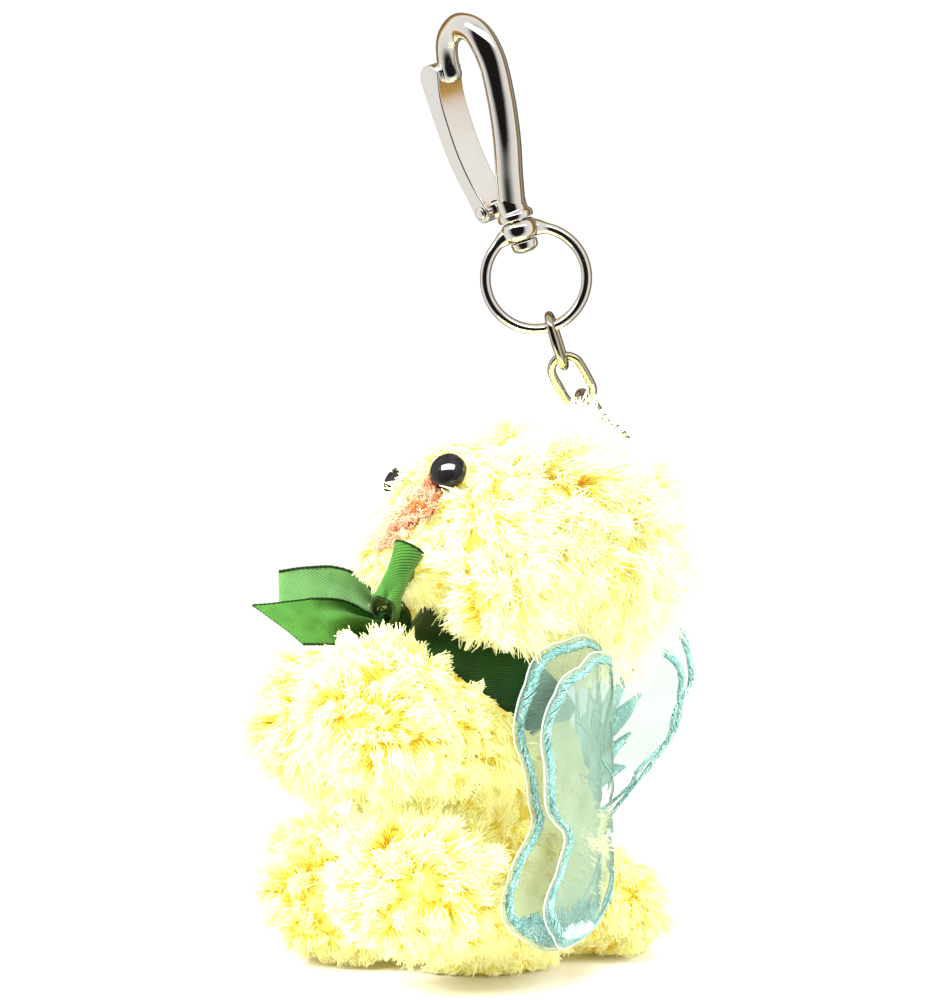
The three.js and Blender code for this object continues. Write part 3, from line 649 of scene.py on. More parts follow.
class Ball:
    """An ellipsoid: its centre, half sizes and yaw."""

    def __init__(self, centre, semi, yaw=0.0):
        self.centre, self.semi = vec(*centre), vec(*semi)
        self.turn = np.array([[math.cos(yaw), -math.sin(yaw), 0], [math.sin(yaw), math.cos(yaw), 0], [0, 0, 1]])
        a, b, c = self.semi
        p = 1.6
        self.area = 4 * PI * (((a * b) ** p + (a * c) ** p + (b * c) ** p) / 3) ** (1 / p)

    def inside(self, points, grow):
        local = (points - self.centre) @ self.turn
        return ((local / (self.semi + grow)) ** 2).sum(-1) < 1

    def surface(self, count, random):
        """Random points spread evenly over the surface, with their normals."""
        ball = unit(random.normal(size=(count * 3, 3)))
        weight = np.linalg.norm(ball / self.semi, axis=1)
        ball = ball[random.random(len(ball)) < weight / weight.max()]
        return self.on(ball)

    def on(self, ball):
        return self.centre + (ball * self.semi) @ self.turn.T, unit(ball / self.semi) @ self.turn.T


class Capsule:
    """A limb: a round bar between two balls of their own radii."""

    def __init__(self, start, end, start_r, end_r):
        self.start, self.end, self.r = vec(*start), vec(*end), vec(start_r, end_r)
        self.along = self.end - self.start
        self.length = np.linalg.norm(self.along)
        self.along /= self.length
        self.area = 2 * PI * self.r.mean() * self.length + 4 * PI * (self.r ** 2).mean()

    def inside(self, points, grow):
        at = np.clip((points - self.start) @ self.along, 0, self.length)
        gap = np.linalg.norm(points - self.start - at[:, None] * self.along, axis=1)
        return gap < lerp(*self.r, at / self.length) + grow

    def surface(self, count, random):
        side = unit(np.cross(self.along, [0.2, 0.9, 0.35]))
        out = np.cross(self.along, side)
        at = random.uniform(-self.r[0], self.length + self.r[1], count * 2)
        turn = random.uniform(0, 2 * PI, count * 2)
        middle = np.clip(at, 0, self.length)
        r = lerp(*self.r, middle / self.length)
        past = np.clip((at - middle) / r, -1, 1)
        flat = np.sqrt(1 - past ** 2)
        normal = flat[:, None] * circle(turn, side, out) + past[:, None] * self.along
        return self.start + middle[:, None] * self.along + r[:, None] * normal, normal

    def on(self, ball):
        past = ball @ self.along
        middle = self.length * smooth(-0.3, 0.3, past)
        r = lerp(*self.r, middle / self.length)
        return self.start + middle[:, None] * self.along + r[:, None] * ball, ball


class Flap:
    """An ear: a flat, padded flap from its top to its tip."""

    def __init__(self, top, tip, yaw=FACE_YAW):
        self.top, self.tip = vec(*top), vec(*tip)
        self.along = self.tip - self.top
        self.length = np.linalg.norm(self.along)
        self.along /= self.length
        wide = vec(math.sin(yaw), -math.cos(yaw), 0)
        self.thick = unit(np.cross(self.along, wide))
        self.wide = np.cross(self.thick, self.along)
        self.area = 2 * self.length * 15.0

    def sizes(self, t):
        round_ = np.sqrt(np.clip(1 - (2 * t - 1) ** 2, 0.02, 1))
        return (6.2 + 3.2 * t) * round_, 4.6 * round_

    def inside(self, points, grow):
        local = points - self.top
        t = local @ self.along / self.length
        wide, thick = self.sizes(np.clip(t, 0, 1))
        flat = ((local @ self.wide / (wide + grow)) ** 2 + (local @ self.thick / (thick + grow)) ** 2) < 1
        return flat & (t > -grow / self.length) & (t < 1 + grow / self.length)

    def on(self, ball):
        t = (1 + ball @ self.along) / 2
        flat = ball - (ball @ self.along)[:, None] * self.along
        around = unit(flat)
        wide, thick = self.sizes(t)
        a, b = around @ self.wide, around @ self.thick
        points = (self.top + (t * self.length)[:, None] * self.along + (a * wide)[:, None] * self.wide
                  + (b * thick)[:, None] * self.thick)
        normal = ((a / wide)[:, None] * self.wide + (b / thick)[:, None] * self.thick
                  + ((2 * t - 1) / self.length)[:, None] * 2 * self.along * np.ones_like(points))
        return points, unit(normal)

    def surface(self, count, random):
        return self.on(unit(random.normal(size=(count * 2, 3))))


TORSO = [Ball((0, 7, 31), (20, 21, 35)), Ball((1, 5, 60), (14, 13.5, 22))]
FACE_C = vec(4.7, -1.9, 94)
HEAD = [Ball(SKULL_C, SKULL_S), Ball((5, 10, 90.5), (16.5, 14, 17)), Ball(FACE_C, (14.5, 14, 15), FACE_YAW)]
MUZZLE = [Ball((8, -14, 87), (11, 9.5, 8), FACE_YAW)]
EARS = {"left": Flap((15.5, 2, 103.5), (24.2, -5.4, 73)), "right": Flap((-8.5, -4.2, 102), (-15, -5.5, 74))}
LIMBS = {
    "arm_left": Capsule((13, -4, 50), (17, -26, 56), 9, 11.6),
    "arm_right": Capsule((-13.5, -3, 47), (-17.5, -21.4, 52), 10.5, 12.8),
    "leg_left": Capsule((10, -2, 17), (18.6, -21, 22), 11.4, 11.8),
    "leg_right": Capsule((-10, -2, 15), (-18.6, -20.5, 15.4), 12, 12.8),
    "tail": Capsule((0, 20, 15), (0, 36.5, 9.3), 8, 9.3),
}


def on_face(side, forward, up):
    return FACE_C + SIDEWAYS * side + FORWARD * forward + UP * up


# ---- the collar and the bow ----
COLLAR_C, COLLAR_ALONG, COLLAR_ACROSS, COLLAR_TILT = vec(0.5, 5, 59.5), 18.2, 17.0, math.radians(37)
TILT = np.array([[1, 0, 0], [0, math.cos(-COLLAR_TILT), -math.sin(-COLLAR_TILT)],
                 [0, math.sin(-COLLAR_TILT), math.cos(-COLLAR_TILT)]])
RIBBON_WIDE, RIBBON_THICK = 12.0, 0.35


def strip(name, rows, node, cloth=SATIN):
    """A ribbon from rows of points across it, with a rolled hem along both edges and cut ends."""
    rows = np.asarray(rows, float)
    count, columns = rows.shape[:2]
    length = distances(rows[:, columns // 2])
    across = np.linspace(-RIBBON_WIDE / 2, RIBBON_WIDE / 2, columns)
    u = np.broadcast_to(across, (count, columns))
    v = np.broadcast_to(length[:, None], (count, columns))
    uv = np.stack([u, v], -1).reshape(-1, 2)
    piece = build(name, cloth_solid(rows, RIBBON_THICK), cloth, "plush", [node], uv=np.vstack([uv, uv]))
    hems = []
    for edge, beside in ((0, 1), (columns - 1, columns - 2)):
        line = rows[:, edge] + (rows[:, beside] - rows[:, edge]) * 0.2
        ripple = 0.3 + 0.05 * np.sin(length * 2 * PI / 0.9)
        hems.append(tube(line, ripple, 8))
    hem = build(name + "_selvedge", merge(hems), HEM, "plush",
                uv=np.zeros((sum(len(h[0]) for h in hems), 2)))


turn = np.linspace(0, 2 * PI, 161)
collar_rows = []
for a in turn:
    half = RIBBON_WIDE / 2
    s = np.linspace(-half, half, 13)
    out = 1.1 + 0.5 * np.sin(3 * a + 0.4) * np.cos(a * 2) + 0.35 * np.cos(s / half * 1.4)
    ring = np.stack([(COLLAR_ACROSS + out) * math.sin(a), -(COLLAR_ALONG + out) * math.cos(a), s], -1)
    collar_rows.append(ring @ TILT.T + COLLAR_C)
# the collar takes the darker satin copy: painted shade
strip("collar", collar_rows, "ribbon_collar", SHADED_SATIN)

PLEATS = 1.5
pleat_s = np.linspace(0, 1, 400)
pleat_heights = np.linspace(0, 0.7, 200)
pleat_chords = np.array([1 / np.mean(np.sqrt(1 + (2 * PI * PLEATS * a * np.cos(2 * PI * PLEATS * pleat_s)) ** 2))
                         for a in pleat_heights])


def pleated_rows(points, directions, chords, count, seed):
    """Rows across a ribbon of one true width. Where its chord is narrower, it stands in pleats."""
    line = Line(points)
    far = np.linspace(0, line.length, count)
    t = far / line.length
    middle, ahead = line.point(far), line.slope(far)
    wide = curve(directions, t) if len(directions) > 2 else lerp(vec(*directions[0]), vec(*directions[1]), t[:, None])
    wide = unit(wide - ahead * (wide * ahead).sum(1)[:, None])
    normal = np.cross(ahead, wide)
    chord = np.minimum(np.interp(t, np.linspace(0, 1, len(chords)), chords), RIBBON_WIDE)
    height = np.interp(-chord / RIBBON_WIDE, -pleat_chords, pleat_heights) * chord
    s = np.linspace(0, 1, 25)
    rows = (middle[:, None] + wide[:, None] * (chord[:, None] * (s - 0.5))[..., None]
            + normal[:, None] * (height[:, None] * np.sin(2 * PI * PLEATS * s))[..., None])
    wobble = drift(rows.reshape(-1, 3), 6.0, seed)[:, 0].reshape(count, 25)
    return rows + normal[:, None] * (0.3 * wobble)[..., None]


def bow_loop(root, bend, wide, half_gap):
    """The centre line of a loop from the knot out to its bend and back."""
    root, bend = vec(*root), vec(*bend)
    out = unit(bend - root)
    apart = unit(np.cross(out, wide))
    middle = lerp(root, bend, 0.5)
    return [root + apart * 0.9, middle + apart * half_gap * 0.85, bend + apart * half_gap,
            bend + out * half_gap * 0.75 + apart * half_gap * 0.72, bend + out * half_gap,
            bend + out * half_gap * 0.75 - apart * half_gap * 0.72,
            bend - apart * half_gap, middle - apart * half_gap * 0.85, root - apart * 0.9]


LOOPS = {
    "left": ((4.6, -18.6, 75.4), (19.8, -24.2, 83.0), vec(0.16, 0.38, 0.91), 2.2, 12),
    "right": ((-0.6, -18.4, 74.6), (-10.5, -20.8, 75.2), vec(-0.2, 0.1, 0.97), 1.7, 7.5),
}
for side_name, (root, bend, wide, half_gap, full) in LOOPS.items():
    loop_points = bow_loop(root, bend, wide, half_gap)
    rows = pleated_rows(loop_points, [wide, wide], [5, full * 0.8, full, full, full, full * 0.8, 5], 90, 11)
    strip(f"bow_loop_{side_name}_ribbon", rows, f"bow_loop_{side_name}")

TAILS = {
    "left": ([(2.2, -19.8, 72.2), (3.2, -27, 73.6), (4.8, -36, 73.6), (5.6, -46.5, 73.4)],
             [(-0.5, 0.3, 0.75), (-0.74, 0.38, 0.52)], [4.5, 9.5, 12, 12, 12]),
    "right": ([(0.6, -20, 75.4), (-1.6, -26.4, 78.6), (-4, -32.4, 79.1), (-6.2, -38.2, 78.9)],
              [(0.1, -0.08, 0.99), (0.62, 0.05, 0.72)], [4.5, 10, 12, 12, 12]),
}
for side_name, (points, directions, chords) in TAILS.items():
    rows = pleated_rows(points, directions, chords, 70, 17)
    if side_name == "left":
        # the end is cut on a slant, its lower corner short
        s = np.linspace(0, 1, rows.shape[1])
        t = np.linspace(0, 1, rows.shape[0])
        line = Line(points)
        for j in range(rows.shape[1]):
            short = 1 - 0.24 * (1 - s[j])
            column = rows[:, j].copy()
            rows[:, j] = np.stack([np.interp(t * short, t, column[:, k]) for k in range(3)], -1)
    # the far tail takes the paler satin copy: painted light
    cloth = LIT_SATIN if side_name == "right" else SATIN
    strip(f"bow_tail_{side_name}_ribbon", rows, f"bow_tail_{side_name}", cloth)

# the knot: a narrow band wound round the middle of the bow, in three soft pleats; it takes the darker satin copy,
# painted shade for the shadow deep in the bow
KNOT, KNOT_S, KNOT_YAW = vec(2.5, -16.4, 73.4), vec(3.7, 3.1, 4.0), math.radians(20)
knot_ball = Ball(KNOT, KNOT_S, KNOT_YAW)
up_turn = np.linspace(-PI / 2 + 0.02, PI / 2 - 0.02, 60)
round_turn = full_turn(120)
knot_rings = []
for a in up_turn:
    ring = ball_ring(a, round_turn)
    points, normals = knot_ball.on(ring)
    pleat = 0.28 * np.abs(np.sin(3.5 * ring[:, 0] * PI + 0.5 * ring[:, 2])) * math.cos(a)
    knot_rings.append(points + normals * pleat[:, None])
knot_uv = np.stack(np.meshgrid(round_turn * 3.6, up_turn * 4), -1).reshape(-1, 2)
build("bow_knot_ribbon", skin(knot_rings), SHADED_SATIN, "plush", ["bow_knot"], uv=knot_uv)

# ---- wings ----
WING_ROOT_Z = 31
WING_PATHS = {
    "large_left": [(2.2, 30.4), (12, 27.2), (21.6, 19.6), (28.6, 8), (31.6, -4.5), (32, -10)],
    "small_left": [(3.2, 32.6), (13, 29.6), (23.4, 21.6), (31, 11.4), (35.2, 1.6), (36.4, -3)],
    "large_right": [(-2.2, 30.4), (-11.5, 35.2), (-17.6, 44.6), (-22, 56), (-25.4, 67.5), (-27.8, 76.5), (-29, 81)],
    "small_right": [(-2.2, 33), (-10.4, 38.2), (-15.4, 47.2), (-19.4, 57.4), (-21.8, 66.4), (-23.4, 72.4)],
}
WING_OUTLINES = {
    "large_left": [(-66, 13), (-55, 19), (-44, 28), (-35, 39), (-27, 47.5), (-17, 53), (-7, 50.5), (3, 44.5),
                   (12, 46), (22, 52), (32, 55.6), (42, 55), (52, 49.5), (61, 43.5), (70, 36.5), (79, 25),
                   (87, 13)],
    "small_left": [(-66, 11), (-50, 17), (-38, 26), (-30, 42), (-25, 48.6), (-17, 50), (-7, 44.6), (0, 42.3),
                   (8, 47.4), (21, 52), (31, 54.3), (37, 52.7), (45, 49), (52, 45.8), (62, 38), (75, 25), (87, 12)],
    "large_right": [(-66, 12), (-52, 18), (-38, 24), (-24, 24), (-12, 22), (-4, 28), (2, 34), (7, 37.6), (13, 48.6),
                    (19.5, 54.3), (25, 62), (34.5, 64.4), (46, 60), (58, 50), (70, 37), (79, 25), (87, 12)],
    "small_right": [(-66, 11), (-50, 16), (-34, 19), (-18, 20), (-4, 24), (8, 33), (17, 44), (26, 51), (35, 53),
                    (46, 49), (58, 41), (70, 31), (79, 22), (87, 12)],
}
SCALLOPS, SCALLOP_DEPTH, RIM_GAP, STITCH_WIDE = 11, 0.8, 1.3, 1.8
THREAD_RINGS = 6
WING_STEPS, WING_SHARES = 181, 36


class Wing:
    """An upright curved sheet: a path seen from above, and reach against angle round its root."""

    def __init__(self, name):
        self.path = Line(WING_PATHS[name])
        self.outline = WING_OUTLINES[name]
        self.ripple = 0.5 if name.startswith("large") else 0.35
        self.sign = 1 if name.endswith("left") else -1

    def reach(self, t):
        angle, reach = curve(self.outline, t).T
        return np.radians(angle), reach + SCALLOP_DEPTH * np.abs(np.sin(PI * SCALLOPS * t))

    def at(self, out, up):
        """The point out along the path and up from the root, and the sheet's normal there."""
        out = np.clip(out, 0, self.path.length)
        middle, ahead = self.path.point(out), self.path.slope(out)
        normal = np.stack([ahead[..., 1], -ahead[..., 0], np.zeros_like(out)], -1) * self.sign
        wave = self.ripple * np.sin(up * 0.42 + out * 0.12) * smooth(8, 38, np.hypot(out, up))
        point = np.concatenate([middle, (WING_ROOT_Z + up)[..., None]], -1)
        return point + normal * wave[..., None], normal

    def polar(self, t, share):
        angle, reach = self.reach(t)
        return self.at(share * reach * np.cos(angle), share * reach * np.sin(angle))

    def spaced(self, from_t, to_t, pitch, steps):
        """Places on the outline that are one pitch apart."""
        ts = np.linspace(from_t, to_t, steps)
        far = distances(self.polar(ts, np.ones(steps))[0])
        return np.interp(np.arange(0, far[-1], pitch), far, ts)


def threads(starts, ends, normals, width, height):
    """Satin-stitch threads: flat spindles that arch from each start to its end, as one set of triangles."""
    ahead = ends - starts
    side = unit(np.cross(ahead, normals))
    t = np.linspace(0, 1, THREAD_RINGS)
    body = np.sin(np.clip(t, 0.06, 0.94) * PI) ** 0.35
    arch = np.sin(t * PI) ** 0.6
    middle = starts[:, None] + ahead[:, None] * t[:, None] + normals[:, None] * (arch[:, None] * height)
    out = side[:, None] * (width / 2 * body)[:, None]
    rise = normals[:, None] * (width * 0.38 * body)[:, None]
    points = np.stack([middle + out, middle + rise, middle - out, middle - rise], 2).reshape(-1, 3)
    return points, prism_faces(len(starts), THREAD_RINGS, 4)


def prism_faces(count, rings, sides):
    """Triangles of many closed prisms of rings x sides points each."""
    faces = []
    for i in range(rings - 1):
        for j in range(sides):
            a, b = i * sides + j, i * sides + (j + 1) % sides
            faces += [(a, b, b + sides), (a, b + sides, a + sides)]
    last = (rings - 1) * sides
    for j in range(1, sides - 1):
        faces += [(0, j + 1, j), (last, last + j, last + j + 1)]
    faces = np.array(faces)
    return (faces[None] + (np.arange(count) * rings * sides)[:, None, None]).reshape(-1, 3)


def pool(sets):
    points, faces, start = [], [], 0
    for p, f in sets:
        points.append(p)
        faces.append(f + start)
        start += len(p)
    return np.vstack(points), np.vstack(faces)


def border(wing, from_t, to_t):
    """Satin stitch along the outline, on both faces."""
    at = wing.spaced(from_t, to_t, 0.5, 400)
    uneven = np.random.default_rng(5).normal(0, 0.17, (2, len(at)))
    _, reach = wing.reach(at)
    sets = []
    for face in (1, -1):
        slant = 0.011 * face
        outer, normal = wing.polar(np.clip(at + slant, 0, 1), 1 - (RIM_GAP + uneven[0]) / reach)
        inner, _ = wing.polar(np.clip(at - slant, 0, 1), 1 - (RIM_GAP + STITCH_WIDE + uneven[1]) / reach)
        lift = normal * 0.05 * face
        sets.append(threads(outer + lift, inner + lift, normal * face, 0.44, 0.26))
    return sets


def both_faces(wing, starts, ends, gap, height):
    """Threads between (out, up) points, on both faces of the sheet."""
    start, normal = wing.at(*starts)
    end, _ = wing.at(*ends)
    return [threads(start + normal * gap * face, end + normal * gap * face, normal * face, 0.42, height)
            for face in (1, -1)]


def satin_column(wing, spine, widths, pitch=0.36, height=0.3, slant=0.5):
    """A stitched column: threads across a line of (out, up) points."""
    line = Line(spine)
    far = np.arange(0, line.length, pitch)
    middle, ahead = line.point(far), line.slope(far)
    half = np.interp(far / line.length, np.linspace(0, 1, len(widths)), widths)[:, None] / 2
    across = unit(np.stack([-ahead[:, 1], ahead[:, 0]], -1) + ahead * slant)
    return both_faces(wing, (middle + across * half).T, (middle - across * half).T, 0.05, height)


def polar_point(angle, reach):
    return reach * math.cos(math.radians(angle)), reach * math.sin(math.radians(angle))


def vein(wing, angle, start, end, wide=0.45):
    return satin_column(wing, [polar_point(angle - 3, start), polar_point(angle, (start + end) / 2),
                               polar_point(angle - 1.8, end)], [wide, wide, wide * 0.7], 0.5, 0.15, 1.5)


def fill(wing, from_t, to_t, depth_at):
    """A deep stitched fringe inside the border: threads that run inwards by depth_at(t)."""
    at = wing.spaced(from_t, to_t, 0.42, 200)
    deep = depth_at((at - from_t) / (to_t - from_t)) * np.random.default_rng(9).uniform(0.75, 1.1, len(at))
    angle, reach = wing.reach(at)
    inward = 1 - (RIM_GAP + STITCH_WIDE * 0.6) / reach
    out, up = reach * np.cos(angle) * inward, reach * np.sin(angle) * inward
    return both_faces(wing, (out, up), (out + 0.15 * deep, up + deep), 0.08, 0.2)


for name in WING_PATHS:
    wing = Wing(name)
    size, side_name = name.split("_")
    body = f"{side_name}_wing"
    ts = np.linspace(0, 1, WING_STEPS)
    grid = (WING_STEPS, WING_SHARES)
    grid_t, share = (g.ravel() for g in np.meshgrid(ts, np.linspace(0.08, 1, WING_SHARES), indexing="ij"))
    points, normals = wing.polar(grid_t, share)
    shape = cloth_solid(points.reshape(*grid, 3), 0.14, normals.reshape(*grid, 3))
    angle, reach = wing.reach(grid_t)
    uv = np.stack([share * reach * np.cos(angle), share * reach * np.sin(angle)], -1)
    veil = build(f"wing_{name}_organza", shape, ORGANZA if side_name == "left" else SHEER, body, [f"wing_{name}"],
                 uv=np.vstack([uv, uv]))
    turn, far = angle.reshape(grid)[:, 0], reach.reshape(grid)[:, 0]
    edge, _ = wing.polar(ts, np.ones(WING_STEPS) * 0.998)
    cut_edge = build(f"wing_{name}_rim", tube(edge, 0.16, 8), RIM, body)

    stitches = border(wing, 0.02, 0.985)
    if name == "large_left":
        stitches += fill(wing, 0.12, 0.3, lambda s: 7.5 * np.sin(PI * s) ** 0.6)
        for a, end in ((-46, 26), (-38, 32), (-31, 35), (-24, 34), (24, 30), (38, 38), (52, 36)):
            stitches += vein(wing, a, 8, end)
    elif name == "small_left":
        for a, end in ((-42, 24), (-30, 30), (30, 30), (48, 30)):
            stitches += vein(wing, a, 8, end, 0.35)
    else:
        body_tips = ((11, 32, 8.0), (20, 34, 9.0), (30.5, 44, 7.5), (39, 46, 7.0), (48, 28, 8.0))
        if size == "small":
            body_tips = ((16, 22, 4.0), (28, 30, 4.5), (40, 28, 4.5))
        for a, end, wide in body_tips:
            spine = [polar_point(a * 0.6 + 12, 2.5), polar_point(a * 0.85 + 4, end * 0.45), polar_point(a, end)]
            stitches += satin_column(wing, spine, [2.5, wide, wide, wide * 0.75, 0.7], 0.36, 0.35)
        for a, end in ((-40, 28), (-28, 33)):
            stitches += vein(wing, a, 8, end, 0.4)
    aqua = build(f"wing_{name}_stitching", pool(stitches), AQUA, body)
    if name == "small_left":
        pale = fill(wing, 0.17, 0.26, lambda s: 3.4 * np.sin(PI * s) ** 0.5)
        pale += satin_column(wing, [polar_point(12, 3), polar_point(-4, 8), polar_point(-12, 12)], [1.2, 2.2, 1.0])
        build("wing_small_left_white_stitching", pool(pale), WHITE_THREAD, body)

# the stitches that hold the wings to the back
ROOT_STITCHES = 9
root_threads = []
for k, z in enumerate(np.linspace(27.5, 34.5, ROOT_STITCHES)):
    lean = 0.5 * (-1) ** k
    line = curve([(-3.2, 28.2, z - lean), (-1.6, 30.6, z - lean / 2), (0, 31.3, z), (1.6, 30.6, z + lean / 2),
                  (3.2, 28.2, z + lean)], np.linspace(0, 1, 20))
    root_threads.append(tube(line, 0.28, 8))
build("wing_root_stitches", merge(root_threads), WHITE_THREAD, "plush", ["wing_stitch"])

# ---- eyes ----
EYES = {}
for side_name, across, forward, up in (("left", 7.4, 9.2, 8.4), ("right", -7.4, 7.8, 6.0)):
    seat = on_face(across, forward, up)
    outward = unit(FORWARD * 0.78 + SIDEWAYS * across * 0.035 + UP * 0.56)
    EYES[side_name] = (seat, outward)
    t = np.linspace(0, PI / 2, 24)
    dome = [(4 * math.cos(a) ** 0.9, 2 + 3.6 * math.sin(a)) for a in t[:-1]] + [(0, 5.6)]
    bead = [(0, -7), (0.9, -7), (0.9, 0.4), (2.6, 0.5), (3.6, 1.0)] + dome
    build(f"eye_bead_{side_name}", turned(seat, outward, bead, 72), EYE, "plush", [f"eye_{side_name}"])
    washer = [(1.3, -4.6), (3.6, -4.6), (3.6, -3.8), (1.3, -3.8), (1.3, -4.6)]
    build(f"washer_{side_name}", turned(seat, outward, rounded(washer, 0.2), 32), TAPE, "plush",
          [f"eye_washer_{side_name}"])

# ---- the pile ----
NOSE_BAND = [on_face(4.6, 11.2, 7.2), on_face(2.8, 14.2, 2.6), on_face(2, 18.2, -0.6), on_face(1.8, 21.2, -4.8)]
NOSE_LINE = curve(NOSE_BAND, np.linspace(0, 1, 160))
HANG_LINE = np.vstack([link_lines[3], tape_line])
STRAND_RINGS, STRAND_SIDES, STRAND_R, STRAND_WAVE = 4, 3, 0.165, 0.34
STRAND_AT = np.array([0, 0.36, 0.7, 1.0])
STRAND_SHAPE = np.array([0.9, 1.1, 1.0, 0.55])
PIECE_FACES = 190000
LOCK_SPREAD, LOCK_SINK, SHORTEST_LOCK = 0.62, 0.3, 1.2
CLOTH_PROUD, CLOTH_LUMPS, STUFFED = 0.5, 5.0, 0.75
HEAD_PARTS = ("head", "ear", "muzzle")
FLOOR_GAP = 0.3


def strand_set(roots, aims, lengths, bends, thick, spread, count, random):
    """Locks of soft strands that curl, each lock's strands starting apart and leaning together."""
    total = len(roots) * count
    aim = unit(np.repeat(aims, count, 0) + random.normal(0, 0.12, (total, 3)))
    root, bend = np.repeat(roots, count, 0), np.repeat(bends, count, 0)
    length = np.repeat(lengths, count) * random.uniform(0.66, 1.08, total)
    side = unit(np.cross(aim, random.normal(size=(total, 3))))
    other = np.cross(aim, side)
    ring, turn = spread * np.sqrt(random.random(total)), random.uniform(0, 2 * PI, total)
    offset = (np.cos(turn) * ring)[:, None] * side + (np.sin(turn) * ring)[:, None] * other
    t = STRAND_AT
    phase = random.uniform(0, 2 * PI, total)
    swing = STRAND_WAVE * np.sin(phase[:, None] + t * 4.6) * t
    sway = STRAND_WAVE * np.cos(phase[:, None] * 1.7 + t * 3.4) * t
    middle = (root[:, None] + offset[:, None] * (1 - 0.65 * t ** 1.5)[:, None]
              + aim[:, None] * (length[:, None] * t)[..., None]
              + bend[:, None] * (length[:, None] * t ** 2)[..., None]
              + side[:, None] * (swing * length[:, None] * 0.5)[..., None]
              + other[:, None] * (sway * length[:, None] * 0.4)[..., None])
    fat = thick * random.uniform(0.75, 1.25, total)
    rim = circle(np.arange(STRAND_SIDES) * 2 * PI / STRAND_SIDES, side[:, None], other[:, None])
    points = middle[:, :, None] + rim[:, None] * (fat[:, None] * STRAND_SHAPE)[..., None, None]
    points[..., 2] = np.maximum(points[..., 2], FLOOR_GAP + (random.random(total) * 0.4)[:, None, None])
    # along runs from 0 at the root to 1 at the tip; strand_look paints shade at the root and a highlight at the tip
    # from it
    along = np.broadcast_to(t[None, :, None], points.shape[:3])
    across = np.broadcast_to((phase / 7)[:, None, None], points.shape[:3])
    uv = np.stack([across, along], -1).reshape(-1, 2)
    return points.reshape(-1, 3), prism_faces(total, STRAND_RINGS, STRAND_SIDES), uv


def thin_out(points, normals, gap):
    """Keeps one point in each cell of the gap's size."""
    cells = np.floor(points / gap).astype(np.int64)
    key = (cells[:, 0] * 4001 + cells[:, 1]) * 4001 + cells[:, 2]
    _, first = np.unique(key, return_index=True)
    first.sort()
    return points[first], normals[first]


def near_line(points, line):
    return np.min(np.linalg.norm(points[:, None] - line[None, ::4], axis=2), axis=1)


def under_collar(points, margin):
    local = (points - COLLAR_C) @ TILT
    radius = np.hypot(local[:, 0] / COLLAR_ACROSS, local[:, 1] / COLLAR_ALONG)
    return (np.abs(local[:, 2]) < RIBBON_WIDE / 2 + margin) & (radius < 1.55)


SOLIDS = {"head": HEAD, "muzzle": MUZZLE, "torso": TORSO, **{k: [v] for k, v in LIMBS.items()},
          **{f"ear_{k}": [v] for k, v in EARS.items()}}


def roots_of(name, gap, seed):
    """Evenly spread roots on a soft part, outside every other part."""
    random = np.random.default_rng(seed)
    points, normals = [], []
    for solid in SOLIDS[name]:
        p, n = solid.surface(int(solid.area / gap ** 2 * 3), random)
        points.append(p)
        normals.append(n)
    points, normals = np.vstack(points), np.vstack(normals)
    free = points[:, 2] > 0.4
    for other, solids in SOLIDS.items():
        for solid in solids:
            if other == name and len(solids) == 1:
                continue
            free &= ~solid.inside(points, -0.15 if other == name else -0.8)
    for seat, outward in EYES.values():
        local = points - seat
        height = local @ outward
        side = np.linalg.norm(local - height[:, None] * outward, axis=1)
        free &= ~((side < 3.9) & (height > -4) & (height < 9))
    if name in ("head", "muzzle"):
        free &= near_line(points, NOSE_LINE) > 3.6
    if name == "head":
        free &= near_line(points, HANG_LINE) > 1.6
    if not name.startswith(HEAD_PARTS):
        free &= ~under_collar(points, 0.8)
    if name == "torso":
        free &= np.linalg.norm(points - vec(0, 30, 31), axis=1) > 3.5
    return thin_out(points[free], normals[free], gap)


def grown_ball(solid, seed):
    """The cloth under the pile: the solid's surface, lumpy and slightly proud."""
    up = np.linspace(-PI / 2 + 0.03, PI / 2 - 0.03, 40)
    around = full_turn(64)
    rings = []
    for a in up:
        points, normals = solid.on(ball_ring(a, around))
        lumps = CLOTH_PROUD + 0.5 * drift(points, CLOTH_LUMPS, seed)[:, 0]
        points = points + normals * lumps[:, None]
        points[:, 2] = np.maximum(points[:, 2], 0.05)
        rings.append(points)
    return skin(rings)


COATS = {
    # part: (body, gap between locks, length, strands in a lock, hang, seed)
    "torso": ("plush", 2.4, 5.4, 24, 0.15, 3),
    "head": ("plush", 2.5, 8.6, 30, 0.2, 4),
    "muzzle": ("plush", 1.8, 3.2, 18, 0.1, 5),
    "ear_left": ("left_ear", 2.2, 7.4, 28, 0.5, 6),
    "ear_right": ("right_ear", 2.2, 5.6, 22, 0.5, 7),
    "arm_left": ("plush", 2.2, 6.0, 28, 0.25, 8),
    "arm_right": ("plush", 2.2, 6.0, 24, 0.25, 9),
    "leg_left": ("plush", 2.2, 6.2, 26, -0.1, 10),
    "leg_right": ("plush", 2.2, 6.2, 24, -0.2, 11),
    "tail": ("plush", 2.2, 5.2, 22, 0.0, 12),
}
REPLACED = {name: [f"{name}_skin", f"{name}_stuffing"] for name in ("torso", "head", *LIMBS)}
FACE_LENGTH = 0.42
wing_t, wing_share = (grid.ravel() for grid in np.meshgrid(np.linspace(0, 1, 120), np.linspace(0.2, 1, 15)))
WING_POINTS = np.vstack([Wing(name).polar(wing_t, wing_share)[0] for name in ("large_left", "large_right")])
PARTING = unit([0.88, -0.47, 0.1])

